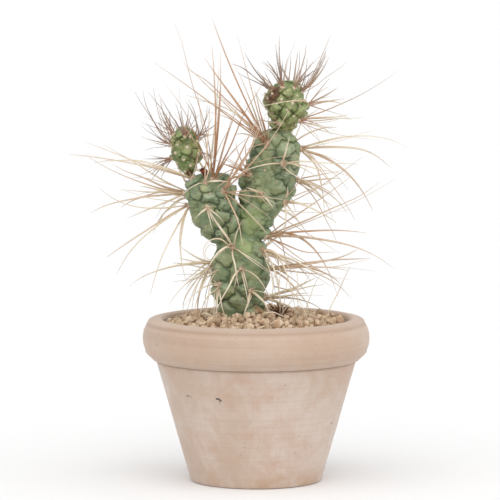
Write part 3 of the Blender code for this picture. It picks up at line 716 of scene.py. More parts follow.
def makeSpineTree():
    # sweeps a flat oval along each line, as wide as the line's own values say
    tree, given, out = newGeometryTree("spineTree", [
        ("Corners", "NodeSocketInt", 6), ("Thickness", "NodeSocketFloat", 0.5),
        ("Material", "NodeSocketMaterial", None)])
    lines = addNode(tree, "GeometryNodeMeshToCurve")
    tree.links.new(given["Geometry"], lines.inputs["Mesh"])
    twisted = addNode(tree, "GeometryNodeSetCurveTilt")
    tree.links.new(lines.outputs[0], twisted.inputs["Curve"])
    tree.links.new(namedValue(tree, "twist"), twisted.inputs["Tilt"])
    oval = addNode(tree, "GeometryNodeCurvePrimitiveCircle")
    oval.inputs["Radius"].default_value = 1.0
    tree.links.new(given["Corners"], oval.inputs["Resolution"])
    flat = addNode(tree, "ShaderNodeCombineXYZ")
    flat.inputs[0].default_value = 1.0
    flat.inputs[2].default_value = 1.0
    tree.links.new(given["Thickness"], flat.inputs[1])
    pressed = addNode(tree, "GeometryNodeTransform")
    tree.links.new(oval.outputs["Curve"], pressed.inputs["Geometry"])
    tree.links.new(flat.outputs[0], pressed.inputs["Scale"])
    swept = addNode(tree, "GeometryNodeCurveToMesh")
    swept.inputs["Fill Caps"].default_value = True
    tree.links.new(twisted.outputs[0], swept.inputs["Curve"])
    tree.links.new(pressed.outputs[0], swept.inputs["Profile Curve"])
    tree.links.new(namedValue(tree, "halfWidth"), swept.inputs["Scale"])
    smooth = addNode(tree, "GeometryNodeSetShadeSmooth")
    tree.links.new(swept.outputs[0], smooth.inputs["Geometry"])
    finishTree(tree, smooth.outputs[0], given["Material"], out)
    return tree


latheTree = makeLatheTree()
scatterTree = makeScatterTree()
spineTree = makeSpineTree()
report("node trees")


# pot

potLook = dict(
    sides=264, foot=40.8, footRound=1.4, neck=61.8, underRim=75.4, bevelTop=79.4, wallStep=1.25,
    mouth=57.4, floor=8.0, floorRadius=33.5, drainRadius=5.0, drainCircle=19.0,
    waver=0.22, ridges=0.10,
    # small marks: angle from the front, height, half width, half height, depth, stain
    marks=[(-60, 88, 0.9, 0.8, 0.15, 0.45), (31, 34, 1.0, 0.7, 0.15, 0.25), (58, 97, 2.0, 1.0, 0.5, 0.0),
           (-102, 98.5, 2.6, 1.4, 0.8, 0.0), (128, 79, 2.4, 1.1, 0.6, 0.0),
           (171, 42, 1.3, 0.8, 0.3, 0.5), (150, 60, 2.4, 0.5, 0.1, 0.4), (-150, 24, 1.2, 0.9, 0.3, 0.3),
           (96, 1.5, 2.2, 1.6, 0.9, 0.0), (-35, 1.2, 1.8, 1.2, 0.6, 0.0), (200, 1.2, 2.4, 1.4, 0.8, 0.0),
           (75, 30, 0.8, 0.8, 0.2, 0.4), (-128, 90, 1.0, 0.7, 0.2, 0.4), (-8, 93, 0.6, 0.4, 0.1, 0.3)])


def arc(centre, radii, start, end, steps):
    angles = np.radians(np.linspace(start, end, steps + 1))
    return [(centre[0] + radii[0] * math.cos(a), centre[1] + radii[1] * math.sin(a)) for a in angles]


def stretchOf(first, last, step):
    # points from first up to, not including, last, about a step apart
    count = max(1, round(math.dist(first, last) / step))
    return [(first[0] + (last[0] - first[0]) * i / count, first[1] + (last[1] - first[1]) * i / count)
            for i in range(count)]


def potOutline(look):
    low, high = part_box("pot")
    rim, top = (high[0] - low[0]) / 2 / mm, high[2] / mm
    foot, soft = look["foot"], look["footRound"]
    lip = look["mouth"] + 3.2
    outline = stretchOf((0, 0), (foot - soft, 0), 3.0)
    outline += arc((foot - soft, soft), (soft, soft), -90, -12, 4)
    outline += stretchOf(outline.pop(), (look["neck"] - 0.1, look["underRim"] - 0.9), look["wallStep"])
    outline += arc((look["neck"] + 0.55, look["underRim"] - 0.75), (0.62, 0.7), 180, 95, 3)
    outline += arc((look["neck"] + 1.6, look["underRim"] + 0.5), (0.6, 0.55), -90, -25, 3)
    outline += stretchOf(outline.pop(), (rim - 2.1, look["bevelTop"]), 1.0)
    outline += [(rim - 1.75, look["bevelTop"] + 0.5), (rim - 1.6, look["bevelTop"] + 1.1)]
    outline += arc((rim - 9, 88.5), (9, 12.4), -32, 40, 14)
    outline += [(rim - 2.3, 97.0), (rim - 2.8, 97.4), (rim - 3.05, 97.9)]  # the faint groove under the lip
    outline += arc((rim - 5.3, 98.1), (2.3, 1.9), 12, 72, 4)
    outline += stretchOf(outline.pop(), (lip, top - 0.15), 1.2)
    outline += arc((lip, top - 2.6), (3.2, 2.5), 84, 180, 7)
    outline += stretchOf(outline.pop(), (look["floorRadius"] + 1, look["floor"] + 3), 3.0)
    outline += arc((look["floorRadius"] - 2, look["floor"] + 3), (3, 3), 0, -90, 4)
    outline += stretchOf(outline.pop(), (0, look["floor"]), 3.0) + [(0, look["floor"])]
    return outline


def drainCutter(look, number):
    bm = bmesh.new()
    angle = math.radians(90 + 120 * number)
    away = look["drainCircle"] * mm
    place = Matrix.Translation((away * math.cos(angle), away * math.sin(angle), 0))
    radius, soft = look["drainRadius"] * mm, 0.8 * mm
    rings = []
    outline = ((-5 * mm, radius + soft), (-0.2 * mm, radius + soft), (soft, radius), (20 * mm, radius))
    for height, size in outline:
        ring = [bm.verts.new(place @ Vector((size * math.cos(a), size * math.sin(a), height)))
                for a in np.linspace(0, 2 * math.pi, 40, endpoint=False)]
        rings.append(ring)
    for ring, following in zip(rings, rings[1:]):
        for i in range(40):
            j = (i + 1) % 40
            bm.faces.new((ring[i], ring[j], following[j], following[i]))
    bm.faces.new(reversed(rings[0]))
    bm.faces.new(rings[-1])
    mesh = bpy.data.meshes.new("drainCutter")
    bm.to_mesh(mesh)
    bm.free()
    return linkNew("drainCutter", mesh)


def makePot(look):
    outline = potOutline(look)
    pathRadius = 50.0
    mesh = bpy.data.meshes.new("potOutline")
    points = [((r - pathRadius) * mm, -z * mm, 0) for r, z in outline]
    mesh.from_pydata(points, [(i, i + 1) for i in range(len(points) - 1)], [])
    turned = throughTree("pot", mesh, latheTree, {
        "Sides": look["sides"], "Path Radius": pathRadius * mm, "Waver": look["waver"] * mm,
        "Ridges": look["ridges"] * mm, "Material": clay})
    bm = bmesh.new()
    bm.from_mesh(turned)
    bmesh.ops.recalc_face_normals(bm, faces=bm.faces)
    bm.to_mesh(turned)
    bm.free()
    piece = linkNew("clayPot", turned)
    cutters = [drainCutter(look, i) for i in range(3)]
    for cutter in cutters:
        hole = piece.modifiers.new("drain", "BOOLEAN")
        hole.object = cutter
        hole.solver = "EXACT"
    bpy.context.view_layer.update()
    whole = bpy.data.meshes.new_from_object(piece.evaluated_get(bpy.context.evaluated_depsgraph_get()))
    for cutter in cutters:
        bpy.data.objects.remove(cutter)
    piece.modifiers.clear()
    piece.data = whole
    markPot(whole, look)
    whole.set_sharp_from_angle(angle=math.radians(50))
    return piece


def markPot(mesh, look):
    # dents the small marks in, and writes where they are stained and where painted shade darkens the creases
    # and the foot's bottom edge
    count = len(mesh.vertices)
    places = np.zeros(count * 3)
    mesh.vertices.foreach_get("co", places)
    places = places.reshape(-1, 3) / mm
    radius = np.hypot(places[:, 0], places[:, 1])
    facing = np.degrees(np.arctan2(places[:, 0], -places[:, 1]))
    outside = radius > look["mouth"] - 0.6
    outside |= radius > look["foot"] + (look["neck"] - look["foot"]) * places[:, 2] / look["underRim"] - 2.5
    stain = np.zeros(count)
    ragged = noiseAt(places, 1.3, 4.0) * 0.5
    for angle, height, halfWidth, halfHeight, depth, dark in look["marks"]:
        across = ((facing - angle + 180) % 360 - 180) * np.radians(1) * radius
        away = np.hypot(across / halfWidth, (places[:, 2] - height) / halfHeight) + ragged
        bite = smoothStep(1.15, 0.35, away) * outside
        places[:, :2] *= (1 - depth * bite / np.maximum(radius, 1))[:, None]
        stain = np.maximum(stain, bite * dark)
    # painted shade: darker in the crease under the rim, in the groove under the lip and along the bottom edge
    # of the foot
    under = np.abs(places[:, 2] - look["underRim"] + 0.4) + np.abs(radius - look["neck"] - 0.6) * 0.35
    crease = smoothStep(1.1, 0.3, under) * 0.75
    groove = np.hypot(places[:, 2] - 97.5, radius - 67.3)
    crease = np.maximum(crease, smoothStep(1.3, 0.3, groove) * 0.22)
    foot = smoothStep(0.9, 0.0, places[:, 2]) * (radius > look["foot"] - 1.2) * 0.5
    crease = np.maximum(crease, foot)
    mesh.vertices.foreach_set("co", (places * mm).reshape(-1))
    for key, values in (("nickStain", stain), ("creaseShade", crease)):
        layer = mesh.attributes.new(key, "FLOAT", "POINT")
        layer.data.foreach_set("value", values.astype(np.float32))
    mesh.update()


clayPot = makePot(potLook)
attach(clayPot, "root")
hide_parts("pot")
soilMaterial = makeSoilMaterial()
frame["nodes"]["potting_soil"].data.materials.clear()
frame["nodes"]["potting_soil"].data.materials.append(soilMaterial)
report("pot, %d faces" % len(clayPot.data.polygons))


# stem segments

# Axis from foot through bend to tip and radii along it, in mm. The skin has tubercles wound round
# it at the golden angle, with an areole near the top of each.
stems = {
    "trunk": dict(
        foot=(-7.5, 2, 80), bend=(-10.5, 2, 118), tip=(-9.5, 2, 155), depth=0.92,
        radii=[(0, 4), (0.11, 9), (0.21, 12.6), (0.32, 14.2), (0.43, 15.2), (0.54, 16.4),
               (0.66, 16.8), (0.78, 16), (0.88, 13.8), (0.96, 9.5), (1, 6)],
        rings=190, sides=230, tubercles=38, phase=0.3, cap=0.07, swell=1.55, cell=9.6, young=False,
        cork=[((5, -12, 107), 8.0), ((-14, 10, 105), 8.0), ((9, 6, 106), 7.0)], fresh=[((-6, -12, 146), 9.0)],
        scars=[((-14, -12, 118), 4.0), ((2, -14, 133), 3.5)], bulges=[((4, -3, 147), 9, 1.5)]),
    "left_branch": dict(
        foot=(-18, 1, 147), bend=(-28, 0, 169), tip=(-31.5, -1, 190.5), depth=0.85,
        radii=[(0, 8), (0.1, 9.5), (0.23, 11.8), (0.4, 14), (0.55, 15.3), (0.68, 15.2),
               (0.82, 13.4), (0.93, 11.6), (1, 9)],
        rings=150, sides=220, tubercles=34, phase=1.4, cap=0.12, swell=1.4, cell=8.0, young=False,
        cork=[((-47, -2, 178), 3.0)], fresh=[],
        scars=[((-33, -13, 180), 3.5), ((-25, -13, 168), 3.0)], bulges=[((-12, 1, 166), 11, 2.2)]),
    "right_branch": dict(
        foot=(-6, 4, 146), bend=(9, 3, 182), tip=(15, 2, 218), depth=0.8,
        radii=[(0, 6), (0.07, 8), (0.16, 10), (0.27, 12.2), (0.38, 13.9), (0.52, 15.8),
               (0.66, 16), (0.78, 15.4), (0.88, 13.6), (0.96, 11), (1, 8)],
        rings=190, sides=230, tubercles=58, phase=2.2, cap=0.08, swell=1.4, cell=8.2, young=False,
        cork=[((16, -3, 163), 5.0)], fresh=[((-4, -9, 160), 14.0), ((5, -12, 170), 8.0)],
        scars=[((3, -11, 177), 4.5), ((2, -12, 186), 3.5), ((8, -12, 170), 3.0)],
        bulges=[((-9, 2, 165), 10, 1.8)]),
    "left_shoot": dict(
        foot=(-40.5, -1, 185.5), bend=(-42.5, -1, 203), tip=(-46, -2, 219), depth=0.95,
        radii=[(0, 3), (0.2, 4.8), (0.4, 7.9), (0.58, 9.1), (0.78, 8.4), (0.92, 6.2), (1, 4.5)],
        rings=120, sides=140, tubercles=34, phase=0.9, cap=0.16, swell=1.35, cell=5.0, young=True,
        cork=[((-41, -5, 190), 3.0)], fresh=[], scars=[], bulges=[]),
    "right_shoot": dict(
        foot=(17, 2, 214), bend=(19, 2, 232), tip=(18, 1, 247), depth=0.92,
        radii=[(0, 5), (0.2, 8.2), (0.4, 11.6), (0.58, 12.5), (0.78, 11), (0.92, 8.2), (1, 6)],
        rings=130, sides=170, tubercles=42, phase=0.2, cap=0.15, swell=1.5, cell=5.6, young=True,
        cork=[((18, -8, 217), 3.5), ((8, -7, 240), 8.0), ((12, -8, 245), 6.0)], fresh=[],
        scars=[], bulges=[]),
}
goldenAngle = math.pi * (3 - math.sqrt(5))


def smoothThrough(points, x):
    xs, ys = (np.array(column, float) for column in zip(*points))
    slopes = np.diff(ys) / np.diff(xs)
    sameWay = slopes[:-1] * slopes[1:] > 0
    total = np.where(sameWay, slopes[:-1] + slopes[1:], 1)
    tangents = np.zeros(len(xs))
    tangents[1:-1] = np.where(sameWay, 2 * slopes[:-1] * slopes[1:] / total, 0)
    tangents[0], tangents[-1] = slopes[0], slopes[-1]
    i = np.clip(np.searchsorted(xs, x, side="right") - 1, 0, len(xs) - 2)
    width = xs[i + 1] - xs[i]
    s = (x - xs[i]) / width
    return ((1 + 2 * s) * (1 - s) ** 2 * ys[i] + s * (1 - s) ** 2 * width * tangents[i]
            + s * s * (3 - 2 * s) * ys[i + 1] + s * s * (s - 1) * width * tangents[i + 1])


def axisPoint(stem, along):
    a, b, c = (np.array(stem[key], float) for key in ("foot", "bend", "tip"))
    s = np.asarray(along, float)[..., None]
    return (1 - s) ** 2 * a + 2 * s * (1 - s) * b + s * s * c


def stemRadius(stem, along):
    nearEnd = np.minimum(along, 1 - along) / stem["cap"]
    return smoothThrough(stem["radii"], along) * np.sqrt(1 - (1 - np.clip(nearEnd, 0, 1)) ** 2)


def plainSkin(stem, along, turn):
    # a point of the skin without its bumps, the way out, and the way up along the axis
    middle = axisPoint(stem, along)
    axis = axisPoint(stem, along + 0.01) - middle
    axis /= np.linalg.norm(axis, axis=-1, keepdims=True)
    side = np.cross(np.array([0.0, 1.0, 0.0]), axis)
    side /= np.linalg.norm(side, axis=-1, keepdims=True)
    depth = np.cross(axis, side)
    out = side * np.sin(turn)[..., None] - depth * (stem["depth"] * np.cos(turn))[..., None]
    return middle + stemRadius(stem, along)[..., None] * out, out, axis


def tubercleCentres(stem, areoles):
    # the wound lattice, giving way to the areoles that carry the long spines
    along = np.linspace(0.001, 0.999, 400)
    girth = np.cumsum(stemRadius(stem, along) + 0.8)
    count = stem["tubercles"]
    shares = np.interp((np.arange(count) + 0.5) / count, girth / girth[-1], along)
    turns = np.arange(count) * goldenAngle + stem["phase"]
    centres, _, axis = plainSkin(stem, shares, turns)
    if len(areoles):
        reach = np.linalg.norm(centres[:, None] - areoles[None], axis=-1).min(axis=1)
        free = reach > 0.62 * stem["cell"]
        middles = areoles - axis.mean(axis=0) * 0.2 * stem["cell"]
        return np.concatenate([middles, centres[free]]), len(areoles)
    return centres, 0


def spotMask(skin, spots, ragged, core):
    # 1 at the middle of each spot and 0 outside it, with a ragged edge
    mask = np.zeros(skin.shape[:2])
    for middle, size in spots:
        away = np.linalg.norm(skin - np.array(middle), axis=-1) / size
        mask = np.maximum(mask, smoothStep(1.15, core, away + ragged))
    return mask


def makeStem(name, stem, areoles):
    rings, sides = stem["rings"], stem["sides"]
    along = (1 - np.cos(np.pi * (np.arange(rings) + 0.55) / (rings + 0.1))) / 2
    along = 0.55 * along + 0.45 * (np.arange(rings) + 0.3) / (rings - 0.4)
    turn = 2 * np.pi * np.arange(sides) / sides
    gridAlong, gridTurn = np.meshgrid(along, turn, indexing="ij")
    points, out, axis = plainSkin(stem, gridAlong, gridTurn)
    outward = out / np.linalg.norm(out, axis=-1, keepdims=True)
    centres, mains = tubercleCentres(stem, areoles)
    cell, swell = stem["cell"], stem["swell"]
    seed = stem["phase"] * 10
    ragged = np.stack([noiseAt(points, cell * 0.6, seed + k * 9.7) for k in range(3)], axis=-1)
    frayed = np.stack([noiseAt(points, cell * 0.22, seed + k * 5.3) for k in range(3)], axis=-1)
    bent = points + ragged * cell * 0.3 + frayed * cell * 0.07
    offset = bent[:, :, None, :] - centres
    up = np.einsum("rsk,rsck->rsc", axis, offset)
    distance = np.sqrt((offset ** 2).sum(-1) + 0.1 * up ** 2)
    order = np.argsort(distance, axis=-1)[..., :2]
    first = np.take_along_axis(distance, order[..., :1], -1)[..., 0]
    second = np.take_along_axis(distance, order[..., 1:], -1)[..., 0]
    upHere = np.clip(np.take_along_axis(up, order[..., :1], -1)[..., 0] / cell, -1, 1)
    edge = np.clip((second - first) / (cell * 0.8), 0, 1)
    pillow = (1 - (1 - edge) ** 2) ** 0.85
    dome = np.clip(1 - (first / (cell * 0.85)) ** 2, 0, 1)
    depthHere = np.clip(0.78 + 1.5 * noiseAt(points, cell * 1.6, seed + 31), 0.12, 1.5)
    lift = swell * (pillow * depthHere * (1.5 + 0.9 * upHere) + 0.5 * dome - 1.1)
    lift += 1.1 * noiseAt(points, 17.0, seed + 3) + 0.5 * noiseAt(points, 7.0, seed + 5)
    squeezed = points * np.array([0.7, 0.7, 1.9])
    creases = 1 - np.abs(noiseAt(squeezed, 4.4, seed + 12)) * 2
    wrinkles = 1 - np.abs(noiseAt(squeezed, 1.9, seed + 14)) * 2
    fine = noiseAt(points, 1.1, seed + 21)
    creaseSize = 0.15 if stem["young"] else 0.42
    creased = smoothStep(0.55, 1.0, creases) * smoothStep(-0.1, 0.35, noiseAt(points, 11.0, seed + 40))
    lift += -creaseSize * creased - 0.1 * smoothStep(0.4, 1.0, wrinkles) + 0.05 * fine
    for middle, size, height in stem["bulges"]:
        lift += height * smoothStep(size, 0, np.linalg.norm(points - np.array(middle), axis=-1))
    lift *= smoothStep(0.0, 0.04, gridAlong) * smoothStep(1.0, 0.985, gridAlong)
    skin = points + outward * lift[..., None]
    below = 0.62 - 0.55 * upHere  # the painted shade is darkest in the hollow under each tubercle
    # painted shade in the grooves between the tubercles and in the creases
    groove = smoothStep(0.34, 0.0, edge) * smoothStep(0.35, 1.1, depthHere) * np.clip(below, 0.2, 1)
    groove = np.maximum(groove, creased * 0.5)
    groove = np.maximum(groove, smoothStep(0.1, 0.0, edge) * smoothStep(0.45, 1.0, depthHere) * 0.75)
    # painted highlight: the tops of the tubercles are lighter, most on their upper side where the light from
    # above falls
    paintedCrestLight = np.clip(dome * (0.55 + 0.9 * upHere) * depthHere + 0.25 * pillow, 0, 1)
    attributes = dict(
        groove=groove, paintedCrestLight=paintedCrestLight,
        corkiness=spotMask(skin, stem["cork"], ragged[..., 0] * 0.35, 0.55),
        freshGrowth=spotMask(skin, stem["fresh"], ragged[..., 1] * 0.25, 0.3) * 0.85,
        paleScar=spotMask(skin, stem["scars"], ragged[..., 2] * 0.7, 0.4) * 0.6)
    mesh = meshFromGrid(name, skin, attributes, stem["foot"], stem["tip"])
    mesh.materials.append(youngSkin if stem["young"] else oldSkin)
    aimed = centres + axis.reshape(-1, 3).mean(axis=0) * 0.24 * cell
    flat = skin.reshape(-1, 3)
    spots = []
    for k in range(mains, len(centres)):
        nearest = int(np.argmin(((flat - aimed[k]) ** 2).sum(-1)))
        spots.append((flat[nearest], outward.reshape(-1, 3)[nearest]))
    return mesh, spots


# fans of spines, read from the CAD nodes

spineRuns = 6  # straight runs along each spine of the CAD model


def readFan(node):
    # the middle of the cushion, and each spine's centre line from root to tip, in mm
    bm = bmesh.new()
    bm.from_mesh(node.data)
    bmesh.ops.remove_doubles(bm, verts=bm.verts, dist=0.00001)
    onSpines, lines = set(), []
    for tip in [v for v in bm.verts if len(v.link_edges) == 3]:
        seen, layer, line = {tip}, {tip}, [tip.co.copy()]
        for _ in range(spineRuns):
            layer = {e.other_vert(v) for v in layer for e in v.link_edges} - seen
            seen |= layer
            line.append(sum((v.co for v in layer), Vector()) / len(layer))
        onSpines |= seen
        lines.append(np.array([tuple(p / mm) for p in reversed(line)]))
    cushion = np.array([tuple(v.co / mm) for v in bm.verts if v not in onSpines])
    bm.free()
    return cushion.mean(axis=0), lines


fans = {name: [] for name in stems}
for nodeName in sorted(frame["nodes"]):
    if nodeName.startswith("spines_"):
        stemName = nodeName[len("spines_"):-3]
        middle, lines = readFan(frame["nodes"][nodeName])
        fans[stemName].append((nodeName, middle, lines))
report("fans read, %d spines" % sum(len(f[2]) for found in fans.values() for f in found))

stemPieces, minorSpots = {}, {}
for name, stem in stems.items():
    areoles = np.array([middle for _, middle, _ in fans[name]])
    mesh, minorSpots[name] = makeStem(name, stem, areoles)
    stemPieces[name] = linkNew("stem_" + name, mesh)
    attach(stemPieces[name], "root")
    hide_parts(name)
report("stems")


def treeOf(piece):
    verts = [v.co / mm for v in piece.data.vertices]
    return BVHTree.FromPolygons(verts, [tuple(p.vertices) for p in piece.data.polygons])


skinTrees = {name: treeOf(piece) for name, piece in stemPieces.items()}


# spines

spineSizes = {
    "trunk": dict(
        width=1.52, count=17, extras=6, brown=0.05, droop=0.5, seed=11,
        # dry spines that curl, droop or lean on the gravel: half width, then points from root to tip
        dry=[(0.48, [(-16, -13, 146), (-22, -17, 151), (-28.5, -18, 150), (-32, -17, 143), (-30, -16, 134),
                     (-28, -17, 126)]),
             (0.46, [(-17, -13, 147), (-21.5, -16, 143), (-27.5, -18, 138.5), (-31.5, -17, 141.5),
                     (-28.5, -15, 147), (-23, -16, 146)]),
             (0.46, [(-20, -8, 132), (-29, -12, 128), (-35, -14, 117), (-38, -16, 106)]),
             (0.34, [(-21, -8, 122), (-24, -13, 119), (-25, -17, 110), (-25, -20, 101)]),
             (0.4, [(-22, -7, 133), (-28, -13, 124), (-30, -17, 112), (-31, -20, 102)]),
             (0.3, [(-23, -5, 134), (-34, -8, 128), (-43, -10, 116), (-45, -11, 106)]),
             (0.42, [(4, -12, 142), (8.5, -17, 131), (10.5, -19, 121), (8, -18, 112)]),
             (0.46, [(10, -10, 142), (17, -14, 134), (22, -18, 117), (25, -21, 103)]),
             (0.4, [(11, -8, 133), (19, -13, 128), (17.5, -15, 115), (16, -17, 105)]),
             (0.36, [(10, -9, 141), (14.5, -13, 132), (14, -15, 119), (17, -18, 105)]),
             (0.32, [(12, -7, 131), (24, -12, 131), (25, -15, 118), (26.5, -18, 104)]),
             (0.44, [(41.5, -23, 98), (46, -19, 110), (52, -14, 122), (58, -11, 134)]),
             (0.34, [(29, -13, 100), (32, -11, 112), (38, -9, 126), (49, -6, 138)]),
             (0.3, [(15, -16, 104), (22, -14, 113), (30, -11, 124), (37, -9, 134)]),
             (0.46, [(11, -9, 121), (22, -14, 118), (28, -20, 110), (33, -25, 99)]),
             (0.4, [(5, 12, 140), (12, 22, 138), (14, 25, 128), (9, 24, 120)]),
             (0.36, [(-17, 12, 128), (-27, 20, 124), (-31, 24, 114), (-32, 26, 103)])]),
    "left_branch": dict(width=1.4, count=17, extras=4, brown=0.16, droop=0.15, seed=12),
    "right_branch": dict(width=1.4, count=17, extras=5, brown=0.25, droop=0.1, seed=13),
    "left_shoot": dict(width=0.95, count=12, extras=9, brown=0.3, droop=0.0, seed=14),
    "right_shoot": dict(width=1.0, count=12, extras=9, brown=0.3, droop=0.0, seed=15),
}
brownFans = {"spines_trunk_07": 0.55, "spines_left_branch_02": 0.55, "spines_left_branch_03": 1.0,
             "spines_left_branch_04": 0.35, "spines_right_branch_01": 0.85, "spines_right_branch_05": 0.6,
             "spines_right_branch_06": 0.8, "spines_right_shoot_05": 0.75, "spines_right_shoot_06": 0.9}
denseFans = {"spines_left_branch_02": 6, "spines_left_branch_03": 10, "spines_right_branch_01": 9,
             "spines_right_branch_06": 6}


# how far a fine spine keeps from the CAD model's box, from the pot and from the skin, in mm
clearance = dict(box=0.5, potTop=100, potRadius=72, skin=0.15, reach=6)
footSpread = 1.8  # how far apart the feet of fine spines lie, in mm


def clearOfFlesh(line):
    # whether a spine stays out of the flesh and the pot past its root, and inside the CAD model's box
    low, high = np.array(cadBox) / mm
    if (line < low + clearance["box"]).any() or (line > high - clearance["box"]).any():
        return False
    overPot = np.hypot(line[:, 0], line[:, 1]) < clearance["potRadius"]
    if (line[:, 2] < clearance["potTop"]).any() and overPot.any():
        return False
    for point in line[3:]:
        for tree in skinTrees.values():
            found, normal, _, _ = tree.find_nearest(Vector(point), clearance["reach"])
            if found is not None and (Vector(point) - found).dot(normal) < clearance["skin"]:
                return False
    return True


def extraSpines(dice, start, normal, lines, count, droop):
    # finer spines between the main ones of a fan, some of them drooping
    made = []
    for _ in range(count * 6):
        if len(made) == count:
            break
        guide = lines[dice.randrange(len(lines))]
        tip = (guide[-1] - guide[0]) * dice.uniform(0.35, 0.95)
        size = np.linalg.norm(tip)
        swing = np.array([dice.uniform(-1, 1), dice.uniform(-0.8, 0.8), dice.uniform(-1, 1) - droop])
        tip = tip + swing * size * 0.7 + normal * size * 0.2
        bow = np.array([0, 0, dice.uniform(-0.06, 0.16)]) * size
        aside = np.array([dice.uniform(-1, 1) for _ in range(3)]) * footSpread
        foot = start + aside - normal * aside.dot(normal)
        bend = foot + tip / 2 + normal * size * 0.18 + bow
        s = np.linspace(0, 1, spineRuns + 1)[:, None]
        line = (1 - s) ** 2 * foot + 2 * s * (1 - s) * bend + s * s * (foot + tip)
        if clearOfFlesh(line):
            made.append(line)
    return made


def spineLines(name, size):
    # every spine of a segment as (centre line, half width, brownness, twist)
    dice = random.Random(size["seed"])
    found = []
    for nodeName, middle, lines in fans[name]:
        spot, normal, _, _ = skinTrees[name].find_nearest(Vector(middle))
        start, normal = np.array(spot), np.array(normal)
        brown = brownFans.get(nodeName, size["brown"])
        count = denseFans.get(nodeName, size["extras"] if normal[1] > -0.6 else 2)
        thinner = extraSpines(dice, start, normal, lines, count, size["droop"])
        strong = [(line, dice.uniform(0.8, 1.12)) for line in lines]
        thin = [(line, dice.uniform(0.4, 0.75)) for line in thinner]
        for line, share in strong + thin:
            root = start + (line[0] - middle) * 0.5
            found.append((np.concatenate([[root - normal * 0.5], line[1:]]), size["width"] * share / 2,
                          min(1, max(0, brown + dice.uniform(-0.3, 0.3))), dice.uniform(-1.6, 1.6)))
    for halfWidth, points in size.get("dry", []):
        found.append((np.array(points, float), halfWidth, 0.1, 2.0))
    return found


def sweepLines(name, lines, count, material, seed):
    # lines of a few points each become tapering, slightly wavering spines
    dice = random.Random(seed)
    verts, edges = [], []
    values = {"halfWidth": [], "alongSpine": [], "brownness": [], "twist": []}
    for line, halfWidth, brown, twist in lines:
        curve = curveThrough(line, count)
        length = np.linalg.norm(np.diff(curve, axis=0), axis=1).sum()
        s = np.linspace(0, 1, count)
        waver = np.array([dice.uniform(-1, 1) for _ in range(3)]) * length * 0.012
        swing = np.sin(s * math.pi * dice.uniform(1.5, 3.2)) * s * (1 - s) * 4
        curve = curve + swing[:, None] * waver
        width = halfWidth * (0.75 + 0.25 * smoothStep(0, 0.16, s)) * (1 - s ** 1.6) ** 0.9 + 0.1
        first = len(verts)
        verts += (curve * mm).tolist()
        edges += [(first + i, first + i + 1) for i in range(count - 1)]
        values["halfWidth"] += (width * mm).tolist()
        values["alongSpine"] += s.tolist()
        values["brownness"] += [brown] * count
        values["twist"] += (twist * s + dice.uniform(0, 3)).tolist()
    mesh = bpy.data.meshes.new(name)
    mesh.from_pydata(verts, edges, [])
    for key, column in values.items():
        layer = mesh.attributes.new(key, "FLOAT", "POINT")
        layer.data.foreach_set("value", np.array(column, np.float32))
    return throughTree(name, mesh, spineTree, {"Corners": 6, "Thickness": 0.5, "Material": material})


for name, size in spineSizes.items():
    young = stems[name]["young"]
    mesh = sweepLines(name + "Spines", spineLines(name, size), size["count"],
                      darkSpine if young else strawSpine, size["seed"])
    piece = linkNew("spines_on_" + name, mesh)
    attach(piece, "root")
    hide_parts(*[f[0] for f in fans[name]])
report("spines")


# areoles: a cushion of wool with a brush of tiny barbed hairs

woolLook = dict(hairs=30, smallHairs=16, hairWidth=0.075, main=2.5, minor=0.85, youngMain=1.7,
                youngMinor=1.2, seed=31)


def addHair(bm, root, way, length, width, droop):
    # a three-sided hair in two runs that ends in a point
    side = way.orthogonal().normalized()
    other = way.cross(side)
    last = None
    for share in (0.0, 0.55):
        middle = root + way * length * share + Vector((0, 0, -droop * share * share))
        ring = [bm.verts.new(middle + (side * math.cos(a) + other * math.sin(a)) * width * (1 - share * 0.5))
                for a in (0, 2.094, 4.189)]
        if last:
            for i in range(3):
                j = (i + 1) % 3
                bm.faces.new((last[i], last[j], ring[j], ring[i]))
        else:
            bm.faces.new(reversed(ring))
        last = ring
    tip = bm.verts.new(root + way * length + Vector((0, 0, -droop)))
    for i in range(3):
        bm.faces.new((last[i], last[(i + 1) % 3], tip))


def makeTuft(number, hairs, look):
    # one areole of radius 1, pointing along +Z
    dice = random.Random(look["seed"] + number)
    bm = bmesh.new()
    bmesh.ops.create_icosphere(bm, subdivisions=2, radius=0.82)
    for vert in bm.verts:
        lump = 1 + 0.22 * noise.noise(vert.co * 2.3 + Vector((number * 3.7, 0, 0)))
        vert.co = Vector((vert.co.x * lump, vert.co.y * lump, vert.co.z * 0.5 * lump))
    for _ in range(hairs):
        tilt = dice.uniform(0.1, 1.35)
        turn = dice.uniform(0, 2 * math.pi)
        way = Vector((math.sin(tilt) * math.cos(turn), math.sin(tilt) * math.sin(turn), math.cos(tilt)))
        root = Vector((way.x * 0.55, way.y * 0.55, 0.12))
        addHair(bm, root, way, dice.uniform(0.7, 1.5), look["hairWidth"], dice.uniform(0, 0.3))
    mesh = bpy.data.meshes.new("tuft")
    bm.to_mesh(mesh)
    bm.free()
    mesh.shade_smooth()
    return mesh


def shapeCollection(name, meshes):
    # shapes to scatter, kept out of the scene
    holder = bpy.data.collections.new(name)
    for i, mesh in enumerate(meshes):
        holder.objects.link(bpy.data.objects.new("%s%02d" % (name, i), mesh))
    return holder


def emptyCollection(holder):
    for shape in list(holder.objects):
        bpy.data.objects.remove(shape)
    bpy.data.collections.remove(holder)


def pointMesh(name, points, sizes, ways):
    mesh = bpy.data.meshes.new(name)
    mesh.from_pydata((np.array(points) * mm).tolist(), [], [])
    grown = mesh.attributes.new("grownSize", "FLOAT", "POINT")
    grown.data.foreach_set("value", np.array(sizes, np.float32) * mm)
    flat = np.array(ways, np.float32).reshape(-1)
    mesh.attributes.new("wayOut", "FLOAT_VECTOR", "POINT").data.foreach_set("vector", flat)
    return mesh


